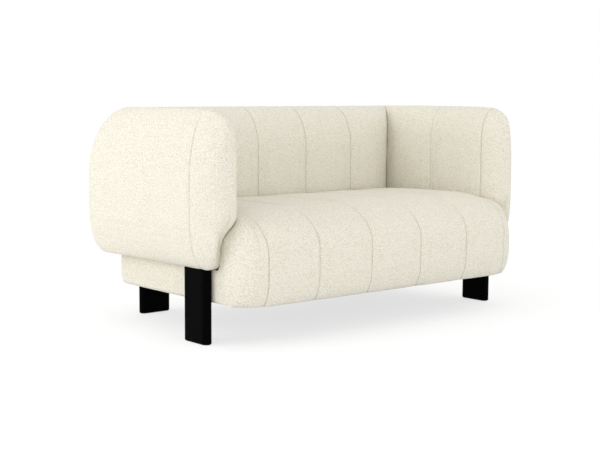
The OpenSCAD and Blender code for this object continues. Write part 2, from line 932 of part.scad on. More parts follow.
module frame_bolt() {
    translate([0, 0, -frame_bolt_bite])
        cylinder(d = bolt_diameter, h = frame_bolt_bite + rail_thickness, $fn = 48);
    translate([0, 0, rail_thickness]) cylinder(d = head_diameter, h = head_height, $fn = 48);
}

module frame_bolts() {
    color(steel_colour) {
        both_sides() arm_bolt_places() frame_bolt();
        back_bolt_places() frame_bolt();
    }
}

seat_front_rail();
seat_rear_rail();
left_side() seat_side_rail();  // seat_left_rail
seat_side_rail();  // seat_right_rail
seat_cross_rails();
seat_corner_blocks();
webbing_battens();
seat_straps_long();
seat_straps_cross();
seat_underlay();
seat_foam();
seat_front_foam();
seat_cover();
left_side() base_border_side();  // base_border_left
base_border_side();  // base_border_right
base_border_rear();
dust_cover();
left_side() arm_bottom_rail();  // arm_bottom_rail_left
left_side() arm_post(arm_frame_y);  // arm_front_post_left
left_side() arm_post(arm_frame_end_y - rail_thickness);  // arm_rear_post_left
left_side() arm_top_rail();  // arm_top_rail_left
left_side() arm_panel(arm_slot_x);  // arm_inner_panel_left
left_side() arm_panel(side_rail_end_x);  // arm_outer_panel_left
left_side() arm_foam();  // arm_foam_left
left_side() arm_cover();  // arm_cover_left
arm_bottom_rail();  // arm_bottom_rail_right
arm_post(arm_frame_y);  // arm_front_post_right
arm_post(arm_frame_end_y - rail_thickness);  // arm_rear_post_right
arm_top_rail();  // arm_top_rail_right
arm_panel(arm_slot_x);  // arm_inner_panel_right
arm_panel(side_rail_end_x);  // arm_outer_panel_right
arm_foam();  // arm_foam_right
arm_cover();  // arm_cover_right
back_bottom_rail();
back_posts();
back_top_rail();
back_straps();
back_outer_panel();
back_foam();
back_cover();
left_side() front_leg();  // front_leg_left
front_leg();  // front_leg_right
left_side() rear_leg();  // rear_leg_left
rear_leg();  // rear_leg_right
left_side() color(dust_colour) front_leg_place() glide();  // front_glide_left
color(dust_colour) front_leg_place() glide();  // front_glide_right
left_side() color(dust_colour) rear_leg_place() glide();  // rear_glide_left
color(dust_colour) rear_leg_place() glide();  // rear_glide_right
leg_bolts();
leg_inserts();
frame_bolts();
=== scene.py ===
"""Two-seat tuxedo sofa in looped cream cloth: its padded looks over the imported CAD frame."""

import json
import logging
import math
from dataclasses import dataclass
from enum import Enum

import bmesh
import bpy
import numpy as np
from mathutils import Matrix, Vector, noise

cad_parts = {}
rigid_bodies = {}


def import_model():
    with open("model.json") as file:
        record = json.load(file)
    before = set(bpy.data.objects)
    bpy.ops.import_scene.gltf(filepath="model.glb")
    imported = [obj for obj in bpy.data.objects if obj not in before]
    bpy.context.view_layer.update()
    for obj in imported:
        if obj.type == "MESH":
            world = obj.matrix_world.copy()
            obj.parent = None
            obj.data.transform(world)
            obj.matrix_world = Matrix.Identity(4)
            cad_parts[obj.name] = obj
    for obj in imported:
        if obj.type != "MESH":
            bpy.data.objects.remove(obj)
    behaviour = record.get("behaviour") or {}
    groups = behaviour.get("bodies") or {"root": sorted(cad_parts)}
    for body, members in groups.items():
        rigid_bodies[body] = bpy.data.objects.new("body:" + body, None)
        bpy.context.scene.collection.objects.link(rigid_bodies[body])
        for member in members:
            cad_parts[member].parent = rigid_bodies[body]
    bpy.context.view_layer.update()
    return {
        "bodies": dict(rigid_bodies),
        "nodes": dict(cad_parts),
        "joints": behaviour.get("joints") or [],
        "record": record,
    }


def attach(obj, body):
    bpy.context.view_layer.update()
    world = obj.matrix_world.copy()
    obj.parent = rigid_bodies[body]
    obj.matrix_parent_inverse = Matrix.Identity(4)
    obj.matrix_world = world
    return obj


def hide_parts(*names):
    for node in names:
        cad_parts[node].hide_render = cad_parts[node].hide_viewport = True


log = logging.getLogger("sofa")

# Name of the mesh attribute that holds painted shade along the seams' grooves and the corner creases
SEAM_SHADE = "seam"
# Largest share of a stretch that a rounding or a station may take
LIMIT_SHARE = 0.94
# Distance that stands for no seam or corner near
FAR = 1.0
# How steep the walls of a seam's groove are
GROOVE_POWER = 1.6

Point = tuple[float, float]
Place = tuple[float, float, float]
Colour = tuple[float, float, float]
Knots = tuple[tuple[float, float], ...]
Span = tuple[float, float, float, float]
# Points of a section, their outward directions and the share of the inner side in each
Outline = tuple[np.ndarray, np.ndarray, np.ndarray]
Feed = bpy.types.NodeSocket | float | tuple[float, ...]


class Side(Enum):
    """Sides of the sofa, as seen from its front, with the sign of X there."""

    LEFT = -1
    RIGHT = 1

    @property
    def word(self) -> str:
        """Name of the side in lower case."""
        return self.name.lower()


@dataclass(frozen=True)
class SofaSizes:
    """Sizes of the sofa in metres, the same as the CAD model's."""

    width: float = 1.5
    depth: float = 0.91
    height: float = 0.77
    seat_height: float = 0.445
    base_clearance: float = 0.133
    channel_count: int = 5
    channel_depth: float = 0.0055
    channel_span: float = 0.075
    front_corner_radius: float = 0.12
    arm_thickness: float = 0.155
    back_thickness: float = 0.277
    corner_setback: float = 0.042
    arm_underside: float = 0.248
    nose_length: float = 0.115
    nose_setback: float = 0.083
    rear_corner_radius: float = 0.12
    base_side_inset: float = 0.086
    base_rear_inset: float = 0.118
    base_corner_radius: float = 0.07
    front_rail_setback: float = 0.097
    deck_height: float = 0.247
    arm_seam_share: float = 0.486

    @property
    def half_width(self) -> float:
        """Half of the width over the arms."""
        return self.width / 2

    @property
    def front_y(self) -> float:
        """Depth of the seat's front."""
        return -self.depth / 2

    @property
    def rear_y(self) -> float:
        """Depth of the back's rear face."""
        return self.depth / 2

    @property
    def inner_half(self) -> float:
        """Half of the width between the arms."""
        return self.half_width - self.arm_thickness

    @property
    def face_y(self) -> float:
        """Depth of the back's face between its seams."""
        return self.rear_y - self.back_thickness

    @property
    def inner_corner_y(self) -> float:
        """Depth of the inner corners between the arms and the back."""
        return self.face_y + self.corner_setback

    @property
    def base_half(self) -> float:
        """Half of the base's width."""
        return self.half_width - self.base_side_inset

    @property
    def base_rear_y(self) -> float:
        """Depth of the base's rear face."""
        return self.rear_y - self.base_rear_inset

    @property
    def channel_pitch(self) -> float:
        """Distance from one channel seam to the next."""
        return 2 * self.inner_half / self.channel_count

    @property
    def channel_seams(self) -> list[float]:
        """Places across the sofa of the seams between the channels."""
        return [i * self.channel_pitch - self.inner_half for i in range(1, self.channel_count)]

    @property
    def nose_start_y(self) -> float:
        """Depth at which an arm's nose begins."""
        return self.front_y + self.nose_setback + self.nose_length

    @property
    def arm_centre_x(self) -> float:
        """Distance of an arm's centre line from the sofa's middle."""
        return self.half_width - self.arm_thickness / 2

    @property
    def arm_seam_y(self) -> float:
        """Depth of an arm's middle seam."""
        return self.nose_start_y + self.arm_seam_share * (self.inner_corner_y - self.nose_start_y)

    @property
    def middle_height(self) -> float:
        """Height half way up the arms and back."""
        return (self.height + self.arm_underside) / 2


SIZES = SofaSizes()


# Small curves that the padded forms share


def arc(centre: Point, reach: float, rise: float, start: float, end: float, count: int) -> np.ndarray:
    """Points on part of an ellipse.

    Args:
        centre: Centre of the ellipse.
        reach: Half axis along the first coordinate.
        rise: Half axis along the second coordinate.
        start: First angle in degrees.
        end: Last angle in degrees.
        count: Number of points, both ends among them.

    Returns:
        An array of the points.
    """
    angles = np.radians(np.linspace(start, end, count))
    return np.stack([centre[0] + reach * np.cos(angles), centre[1] + rise * np.sin(angles)], axis=1)


def between(first: np.ndarray, last: np.ndarray, count: int) -> np.ndarray:
    """A number of evenly spaced points inside a straight line, without its ends."""
    shares = np.linspace(0, 1, count + 2)[1:-1, None]
    return np.asarray(first) * (1 - shares) + np.asarray(last) * shares


def along(knots: Knots, count: int) -> np.ndarray:
    """Shares at each of a number of points, through knots of a point's index and its share."""
    indices, shares = zip(*knots)
    return np.interp(np.arange(count), indices, shares)


def quarter_round(past: float, reach: float, drop: float) -> float:
    """How far a quarter of an ellipse has fallen at a distance past its start."""
    share = min(1.0, past / reach)
    return 0.0 if share <= 0 else drop * (1 - math.sqrt(1 - share ** 2))


def valley(distance: float, half_span: float, power: float = 3.0) -> float:
    """Share of a seam's pull, 1 at the seam, that is felt at a distance from it."""
    return (1 - min(1.0, abs(distance) / half_span)) ** power


def smooth(share: float | np.ndarray) -> float | np.ndarray:
    """Eases a share from 0 to 1, and holds it there outside."""
    held = np.clip(share, 0, 1)
    return held * held * (3 - 2 * held)


def groove(distance: np.ndarray, width: float) -> np.ndarray:
    """Share of a narrow groove's depth at distances from its middle."""
    return np.exp(-((np.abs(distance) / width) ** GROOVE_POWER))


# Rings that close a soft end, and an end that meets another piece
SOFT_RIMS = (0.55,)
CRISP_RIMS = (0.012, 0.05, 0.55)


@dataclass
class PaddedForm:
    """Rings of points that a padded piece is wrapped round, and how far each lies from a seam.

    Attributes:
        name: Name of the piece.
        rings: Points of the rings, as station by point by coordinate.
        seam: Share of painted seam shade at each point, from 0 to 1.
        sewn: Stations that a seam holds down.
        free: Share of its swelling that the padding may make at each point.
    """

    name: str
    rings: np.ndarray
    seam: np.ndarray
    sewn: list[int]
    free: np.ndarray

    def closed(self, rims: tuple[float, ...]) -> "PaddedForm":
        """Adds the rings that close both ends.

        Args:
            rims: Shares of the way to the end's middle line where its rings lie, the line itself left out.

        Returns:
            The form with the new rings at each end, the last of them without width.
        """
        def ends(ring: np.ndarray) -> list[np.ndarray]:
            """Rings from one end's ring in to its middle line."""
            middle = (ring + ring[(-np.arange(len(ring))) % len(ring)]) / 2
            return [ring * (1 - share) + middle * share for share in (*rims, 1)]

        first = ends(self.rings[0])
        rings = np.concatenate([np.array(first[::-1]), self.rings, np.array(ends(self.rings[-1]))])
        added = len(first)
        pad = ((added, added), (0, 0))
        return PaddedForm(self.name, rings, np.pad(self.seam, pad), [i + added for i in self.sewn],
                          np.pad(self.free, pad))

    def mesh_object(self) -> bpy.types.Object:
        """Makes a mesh by wrapping a flat grid round the rings.

        Returns:
            The new object, closed and with its faces outwards.
        """
        stations, points = self.rings.shape[:2]
        half = 0.5
        bm = bmesh.new()
        bmesh.ops.create_grid(bm, x_segments=points, y_segments=stations - 1, size=half)
        layer = bm.verts.layers.float.new(SEAM_SHADE)
        grid: dict[tuple[int, int], bmesh.types.BMVert] = {}
        for vert in bm.verts:
            column = round((vert.co.x + half) * points)
            row = round((vert.co.y + half) * (stations - 1))
            grid[row, column] = vert
            vert[layer] = float(self.seam[row, column % points])
        for (row, column), vert in grid.items():
            vert.co = self.rings[row, column % points]
        welds = {grid[row, points]: grid[row, 0] for row in range(stations)}
        for row in (0, stations - 1):
            for column in range(1, (points + 1) // 2):
                welds[grid[row, points - column]] = grid[row, column]
        bmesh.ops.weld_verts(bm, targetmap=welds)
        bmesh.ops.dissolve_degenerate(bm, dist=1e-6, edges=bm.edges[:])
        bmesh.ops.recalc_face_normals(bm, faces=bm.faces[:])
        return placed(self.name, bm)


def placed(name: str, bm: bmesh.types.BMesh) -> bpy.types.Object:
    """Turns an edited mesh into an object of the scene.

    Args:
        name: Name of the object and of its mesh.
        bm: The edited mesh, which is freed.

    Returns:
        The new object, shaded smooth.
    """
    for face in bm.faces:
        face.smooth = True
    mesh = bpy.data.meshes.new(name)
    bm.to_mesh(mesh)
    bm.free()
    return linked(name, mesh)


def linked(name: str, data: bpy.types.ID) -> bpy.types.Object:
    """Makes an object of a mesh, lamp or camera and links it to the scene.

    Args:
        name: Name of the object.
        data: What the object holds.

    Returns:
        The new object.
    """
    made = bpy.data.objects.new(name, data)
    bpy.context.scene.collection.objects.link(made)
    return made


def outward(rings: np.ndarray) -> np.ndarray:
    """Outward direction at each point of some rings.

    Args:
        rings: Points of the rings, as station by point by coordinate.

    Returns:
        Unit vectors in the same layout.
    """
    round_way = np.roll(rings, -1, axis=1) - np.roll(rings, 1, axis=1)
    normal = np.cross(round_way, np.gradient(rings, axis=0))
    normal = normal / np.maximum(np.linalg.norm(normal, axis=2, keepdims=True), 1e-9)
    centre = rings.mean(axis=1, keepdims=True)
    facing = np.sign(np.sum(normal * (rings - centre), axis=2).sum(axis=1))
    facing[facing == 0] = 1
    return normal * facing[:, None, None]


# What the cloth of a padded piece is like in the simulation
CLOTH_SETTINGS: dict[str, float | bool] = {
    "quality": 4, "mass": 0.25, "tension_stiffness": 18, "compression_stiffness": 18,
    "shear_stiffness": 6, "bending_stiffness": 0.6, "use_pressure": True,
}


@dataclass(frozen=True)
class Padding:
    """How the padding of a piece swells under its cloth.

    Attributes:
        slack: How far the cloth starts inside its finished form.
        cap: Furthest that a point may move.
        pressure: Pressure of the padding.
        frames: Length of the simulation.
        row_gap: Least distance between the stations that the simulation keeps.
        held_share: Share of free swelling under which a point is held.
    """

    slack: float = 0.002
    cap: float = 0.006
    pressure: float = 4.0
    frames: int = 20
    row_gap: float = 0.014
    held_share: float = 0.5

    def swell(self, form: PaddedForm) -> None:
        """Moves the form's rings to where its padding pushes the cloth.

        Args:
            form: Form whose rings are changed in place.
        """
        direction = outward(form.rings)
        form.rings -= direction * (self.slack * form.free)[:, :, None]
        rows = self._rows(form)
        columns = list(range(0, form.rings.shape[1], 2))
        full = self._spread(form, self._simulated(form, rows, columns), rows, columns)
        move = np.maximum(np.sum(full * direction, axis=2), 0)
        move = self.cap * np.tanh(move / self.cap) * form.free
        form.rings += direction * move[:, :, None]

    def _rows(self, form: PaddedForm) -> list[int]:
        """Stations that the simulation keeps: the sewn ones, and others well apart.

        Args:
            form: Form that is simulated.

        Returns:
            Indices of the stations in rising order.
        """
        kept = sorted({0, len(form.rings) - 1, *form.sewn})
        rows: list[int] = []
        for low, high in zip(kept[:-1], kept[1:]):
            rows.append(low)
            for row in range(low + 1, high):
                gaps = [np.linalg.norm(form.rings[row] - form.rings[other], axis=1).max()
                        for other in (rows[-1], high)]
                if min(gaps) > self.row_gap:
                    rows.append(row)
        return [*rows, kept[-1]]

    def _simulated(self, form: PaddedForm, rows: list[int], columns: list[int]) -> np.ndarray:
        """Runs the cloth on a coarser copy of the form.

        Args:
            form: Form that is simulated.
            rows: Stations of the copy.
            columns: Points of each ring in the copy.

        Returns:
            How far each point of the copy moved.
        """
        pick = np.ix_(rows, columns)
        copy = PaddedForm(form.name + "_cloth", form.rings[pick], form.seam[pick],
                          [rows.index(i) for i in form.sewn if i in rows], form.free[pick])
        made = copy.mesh_object()
        start = np.array([tuple(v.co) for v in made.data.vertices])
        flat = copy.rings.reshape(-1, 3)
        held = copy.free.reshape(-1) < self.held_share
        group = made.vertex_groups.new(name="held")
        nearest = [int(np.argmin(np.sum((flat - point) ** 2, axis=1))) for point in start]
        group.add([i for i, k in enumerate(nearest) if held[k]], 1.0, "REPLACE")
        cloth = made.modifiers.new("padding", "CLOTH")
        for name, value in CLOTH_SETTINGS.items():
            setattr(cloth.settings, name, value)
        cloth.settings.uniform_pressure_force = self.pressure
        cloth.settings.vertex_group_mass = group.name
        cloth.settings.effector_weights.gravity = 0
        cloth.collision_settings.use_collision = False
        cloth.point_cache.frame_start = 1
        cloth.point_cache.frame_end = self.frames
        scene = bpy.context.scene
        for frame in range(1, self.frames + 1):
            scene.frame_set(frame)
        shaped = made.evaluated_get(bpy.context.evaluated_depsgraph_get()).to_mesh()
        moves = np.zeros_like(flat)
        moves[nearest] = np.array([tuple(v.co) for v in shaped.vertices]) - start
        mesh = made.data
        bpy.data.objects.remove(made)
        bpy.data.meshes.remove(mesh)
        scene.frame_set(1)
        return moves.reshape(copy.rings.shape)

    def _spread(self, form: PaddedForm, moved: np.ndarray, rows: list[int],
                columns: list[int]) -> np.ndarray:
        """Spreads the copy's moves over every point of the form.

        Args:
            form: Form that takes the moves.
            moved: Moves of the copy's points.
            rows: Stations of the copy.
            columns: Points of each ring in the copy.

        Returns:
            A move for every point of the form.
        """
        stations, points = form.rings.shape[:2]
        wrapped = np.append(moved, moved[:, :1], axis=1)
        steps = np.linalg.norm(np.diff(form.rings, axis=0), axis=2).mean(axis=1)
        run = np.concatenate([[0], np.cumsum(steps)])
        full = np.zeros((stations, points, 3))
        for axis in range(3):
            across = np.array([np.interp(np.arange(points), [*columns, points], line)
                               for line in wrapped[:, :, axis]])
            for column in range(points):
                full[:, column, axis] = np.interp(run, run[rows], across[:, column])
        return full


@dataclass(frozen=True)
class SeamLine:
    """Groove with painted shade, and small puckers, that a plain seam pulls into the cloth.

    Attributes:
        depth: Depth of the groove.
        width: Half width of the groove.
        tone: Share of the seam's dark colour painted in the groove as shade.
        pucker: Height of the puckers beside the seam.
        pucker_reach: How far the puckers run out from the seam.
        pucker_scale: How close the puckers lie along each axis.
    """

    depth: float = 0.0028
    width: float = 0.0026
    tone: float = 0.42
    pucker: float = 0.0008
    pucker_reach: float = 0.032
    pucker_scale: Place = (9, 42, 42)

    def carve(self, form: PaddedForm, distance: np.ndarray, strength: np.ndarray) -> None:
        """Draws the seams into a form and marks their lines with painted shade.

        Args:
            form: Form whose rings and seam marks are changed in place.
            distance: Distance from the nearest seam of each station, or of each point.
            strength: Share of the seam's strength at each point of a section.
        """
        distance = np.broadcast_to(distance, form.seam.shape)
        strength = np.broadcast_to(strength, form.seam.shape)
        direction = outward(form.rings)
        mark = groove(distance, self.width) * strength
        height = np.zeros(distance.shape)
        near = (distance < 3 * self.pucker_reach) & (strength > 0.01)
        for row, column in np.argwhere(near):
            wave = noise.noise(Vector(form.rings[row, column] * self.pucker_scale))
            fade = math.exp(-distance[row, column] / self.pucker_reach)
            height[row, column] = self.pucker * wave * fade * strength[row, column]
        form.rings += direction * (height - self.depth * mark)[:, :, None]
        # The groove's tone is painted shade, kept in the seam marks
        form.seam = np.maximum(form.seam, mark * self.tone)


# The tones paint shade into the grooves: along the seams, in the corner creases, and as a wide shadow line
# along the seat's rear seams
ARM_SEAM = SeamLine(depth=0.0024, tone=0.3)
CREASE = SeamLine(depth=0.0006, width=0.0017, tone=0.5, pucker=0.0016, pucker_reach=0.04)
REAR_SEAM = SeamLine(depth=0.0003, width=0.0062, tone=0.82, pucker=0.0)


# Padded pieces

# Distances from a seam at which sections are drawn, while they fit in half a channel
SEAM_STEPS = (0, 0.0012, 0.0028, 0.005, 0.009, 0.015, 0.023, 0.034, 0.048, 0.066, 0.088, 0.104)
# Stretches beside a seam and before an inner corner in which the padding is held back
SEAM_HOLD = 0.02
CORNER_HOLD = 0.03
# How far the last section of an arm or the back stays from the inner corner
CREASE_GAP = 0.0006
# How fast a plain seam's pull falls off
SEAM_POWER = 2.0


def seam_steps(span: float) -> list[float]:
    """Rising distances of stations from a seam, 0 first and the channel's middle left out."""
    return [step for step in SEAM_STEPS if step < span * LIMIT_SHARE]


def channel_stations(first: float, last: float) -> list[float]:
    """Stations from one seam to just before the next, close together near both.

    Args:
        first: Place of the first seam.
        last: Place of the next seam.

    Returns:
        Places from the first seam on.
    """
    half = (last - first) / 2
    near = [first + step for step in seam_steps(half)]
    far = [last - step for step in reversed(seam_steps(half)) if step > 0]
    return [*near, first + half, *far]


def half_stations(seams: list[float]) -> list[float]:
    """Stations from the sofa's middle to just before the last of some seams.

    Args:
        seams: Places of the seams on the right half and of the end, in rising order.

    Returns:
        Places from 0 on.
    """
    places = [0.0] + [seams[0] - step for step in reversed(seam_steps(seams[0])) if step > 0]
    for low, high in zip(seams[:-1], seams[1:]):
        places += channel_stations(low, high)
    return places


def both_halves(right: dict[float, np.ndarray]) -> tuple[np.ndarray, np.ndarray]:
    """Adds the mirrored left half to the sections of a right half.

    Args:
        right: Sections by their places, from the middle out.

    Returns:
        Places and sections of the whole, from left to right.
    """
    left = [(-x, ring * (-1, 1, 1)) for x, ring in reversed(list(right.items())[1:])]
    places, rings = zip(*left, *right.items())
    return np.array(places), np.array(rings)


def sewn_stations(distance: np.ndarray) -> list[int]:
    """Indices of the stations that lie on a seam, by their distances from the nearest one."""
    return [i for i, gap in enumerate(distance) if gap < 1e-6]


def channel_fall(distance: float) -> float:
    """How far a channel seam draws the cloth in at a distance from it."""
    return SIZES.channel_depth * valley(distance, SIZES.channel_span, SEAM_POWER)


def round_corner(side_length: float, share: float) -> Point:
    """Where a share of the way along a straight side to its rear corner's middle leads.

    Args:
        side_length: Length of the straight side.
        share: Share of the way.

    Returns:
        How far on that is along the side, and how far in from it.
    """
    radius = SIZES.rear_corner_radius
    run = share * (side_length + radius * math.pi / 4)
    turn = max(0.0, run - side_length) / radius
    return min(run, side_length) + radius * math.sin(turn), radius * (1 - math.cos(turn))


@dataclass
class SeatPad:
    """The tight seat, with its sewn channels, round front and the ends that stand before the arms.

    Places across the sofa are on its right half. Knots give a share at a point of the section,
    counted from the deck's front round the seat's front to its rear.
    """

    round_reach: float = 0.2
    round_drop: float = 0.13
    shoulder_reach: float = 0.15
    shoulder_drop: float = 0.122
    rear_fall: float = 0.012
    end_seam_inset: float = 0.024
    skirt_reach: float = 0.04
    skirt_least: float = 0.004
    skirt_rise: float = 0.096
    side_round: float = 0.016
    side_swell: float = 0.007
    swell_start_x: float = 0.58
    swell_run_x: float = 0.08
    swell_rear_y: float = -0.29
    swell_run_y: float = 0.05
    swell_top: float = 0.36
    end_reach_loss: float = 0.031
    end_reach_start: float = 0.52
    flap_rear_y: float = -0.25
    flap_start_x: float = 0.6604
    edge_round: float = 0.011
    face_gap: float = 0.0015
    wall_gap: float = 0.0012
    ear_gap: float = 0.002
    ear_edge_round: float = 0.003
    ear_fall_share: float = 0.25
    ear_skin: float = 0.0003
    ear_angles: tuple[float, ...] = (0, 7, 13, 19, 25, 31, 37, 43, 49, 55, 61, 66, 70, 74, 77.5)
    tip_angle: float = 80
    tip_places: tuple[float, ...] = (0.6580, 0.6598, 0.6608, 0.6620, 0.6630, 0.6636, 0.6639)
    skirt_points: int = 11
    front_points: int = 26
    top_points: int = 26
    edge_points: int = 4
    rear_points: int = 9
    straight_points: tuple[int, int, int] = (4, 5, 5)
    end_hold_x: float = 0.64
    end_hold_run: float = 0.05
    free_knots: Knots = ((9, 0), (10, 0.3), (11, 0.6), (12, 0.8), (13, 0.95), (14, 1), (69, 1), (70, 0.9),
                         (71, 0.75), (72, 0.55), (73, 0.35), (74, 0.2), (75, 0.08), (76, 0))
    seam_knots: Knots = ((6, 0), (7, 1), (30, 1), (43, 0.35), (44, 0.35), (49, 0.15), (76, 0.15), (77, 0))
    rear_seam_knots: Knots = ((44, 0), (59, 1), (75, 1), (76, 0))

    @property
    def seams(self) -> list[float]:
        """Places of the seams across the seat."""
        end = SIZES.inner_half - self.end_seam_inset
        return [-end, *SIZES.channel_seams, end]

    def fall(self, x: float) -> float:
        """How far the seams draw the cloth in at a place across the seat."""
        return max(channel_fall(x - seam) for seam in self.seams)

    def top(self, x: float) -> float:
        """Height of the crown at a place across the seat, lower on the round shoulder at its end."""
        past = x - (SIZES.base_half - self.shoulder_reach)
        return SIZES.seat_height - quarter_round(past, self.shoulder_reach, self.shoulder_drop) - self.fall(x)

    def bottom(self, x: float) -> float:
        """Height of the lower edge, which rounds up at the base's side."""
        past = x - (SIZES.base_half - self.side_round)
        return SIZES.base_clearance + quarter_round(past, self.side_round, self.side_round)

    def ring(self, x: float, rear: np.ndarray, rounding: float) -> np.ndarray:
        """Section of the seat at one place across the sofa.

        Args:
            x: Place across the sofa.
            rear: Depths of the rear line, evenly spaced from the top down to the deck.
            rounding: Radius of the rear upper edge.

        Returns:
            The section's points, from the deck's front round the front and the top.
        """
        s = SIZES
        corner = s.front_corner_radius
        front = s.front_y + quarter_round(x - (s.base_half - corner), corner, corner) + self.fall(x)
        top = self.top(x)
        bottom = self.bottom(x)
        low_rear = self.flap_rear_y if x > self.flap_start_x else s.front_y + s.front_rail_setback
        end = rear[0] - rounding
        to_end = (x - self.end_reach_start) / (s.inner_half - self.end_reach_start)
        reach = min(self.round_reach - self.end_reach_loss * smooth(to_end), LIMIT_SHARE * (end - front))
        drop = min(self.round_drop, LIMIT_SHARE * (top - bottom - self.skirt_rise))
        skirt = min(self.skirt_reach, max(self.skirt_least, LIMIT_SHARE * (low_rear - front)))
        rear_top = top - self.rear_fall * (rear[0] - front) / (s.face_y - s.front_y)
        skirt_line = arc((front + skirt, bottom + self.skirt_rise), skirt, self.skirt_rise, 270, 180,
                         self.skirt_points)
        front_line = arc((front + reach, top - drop), reach, drop, 180, 90, self.front_points)
        shares = np.linspace(0, 1, self.top_points + 1)[1:]
        depths = front + reach + (end - front - reach) * shares
        top_line = np.stack([depths, top - (top - rear_top) * shares ** 2], axis=1)
        edge = arc((end, rear_top - rounding), rounding, rounding, 90, 0, self.edge_points + 1)[1:]
        heights = np.linspace(rear_top - rounding, s.deck_height, len(rear))
        rear_line = np.stack([rear, heights], axis=1)[1:]
        start = np.array([(low_rear, z) for z in (s.deck_height, (s.deck_height + bottom) / 2, bottom)])
        below, above, deck = self.straight_points
        outline = np.concatenate([
            start, between(start[-1], skirt_line[0], below), skirt_line,
            between(skirt_line[-1], front_line[0], above), front_line, top_line, edge, rear_line,
            between(rear_line[-1], start[0], deck)])
        share = np.clip((x - self.swell_start_x) / self.swell_run_x, 0, 1)
        share = share * np.clip((self.swell_rear_y - outline[:, 0]) / self.swell_run_y, 0, 1)
        rise = np.clip((outline[:, 1] - s.base_clearance) / (self.swell_top - s.base_clearance), 0, 1)
        return np.column_stack([x + self.side_swell * share * np.sin(math.pi * rise), outline])

    def ear_rear(self, x: float, angle: float) -> np.ndarray:
        """Rear line of an end of the seat, which follows the arm's nose.

        Args:
            x: Place across the sofa.
            angle: Angle round the nose at that place, in degrees.

        Returns:
            Depths from the top down to the deck.
        """
        s = SIZES
        top = self.top(x) - self.rear_fall * self.ear_fall_share
        line = np.array([WRAP.nose_depth(x, z) for z in np.linspace(top, s.deck_height, self.rear_points)])
        if angle < WRAP.recess_angle:
            line[0] = s.nose_start_y - s.nose_length * math.sin(math.radians(angle))
        return line - self.ear_gap

    def sections(self) -> dict[float, np.ndarray]:
        """Sections of the right half.

        Returns:
            Each section's points by its place across the sofa, from the middle out.
        """
        s = SIZES
        places = half_stations([seam for seam in self.seams if seam > 0])
        places += [self.seams[-1] + step for step in seam_steps(self.end_seam_inset)]
        rings = {}
        for x in (*places, s.inner_half - self.wall_gap):
            face = np.full(self.rear_points, WRAP.face_y(x) - self.face_gap)
            rings[x] = self.ring(x, face, self.edge_round)
        ears = [(s.arm_centre_x - s.arm_thickness / 2 * math.cos(math.radians(angle)) - self.ear_skin, angle)
                for angle in self.ear_angles]
        tips = [(x, self.tip_angle) for x in self.tip_places]
        for x, angle in ears + tips:
            rings[x] = self.ring(x, self.ear_rear(x, angle), self.ear_edge_round)
        return rings

    def build(self) -> bpy.types.Object:
        """Builds the seat.

        Returns:
            The finished piece.
        """
        xs, rings = both_halves(self.sections())
        distance = np.abs(np.array(self.seams)[:, None] - xs).min(axis=0)
        points = rings.shape[1]
        hold = np.clip(distance / SEAM_HOLD, 0, 1)
        hold *= np.clip((self.end_hold_x - np.abs(xs)) / self.end_hold_run, 0, 1)
        form = PaddedForm("seat_pad", rings, np.zeros(rings.shape[:2]), sewn_stations(distance),
                          np.outer(hold, along(self.free_knots, points)))
        Padding().swell(form)
        SeamLine().carve(form, distance[:, None], along(self.seam_knots, points))
        REAR_SEAM.carve(form, distance[:, None], along(self.rear_seam_knots, points))
        return form.closed(SOFT_RIMS).mesh_object()


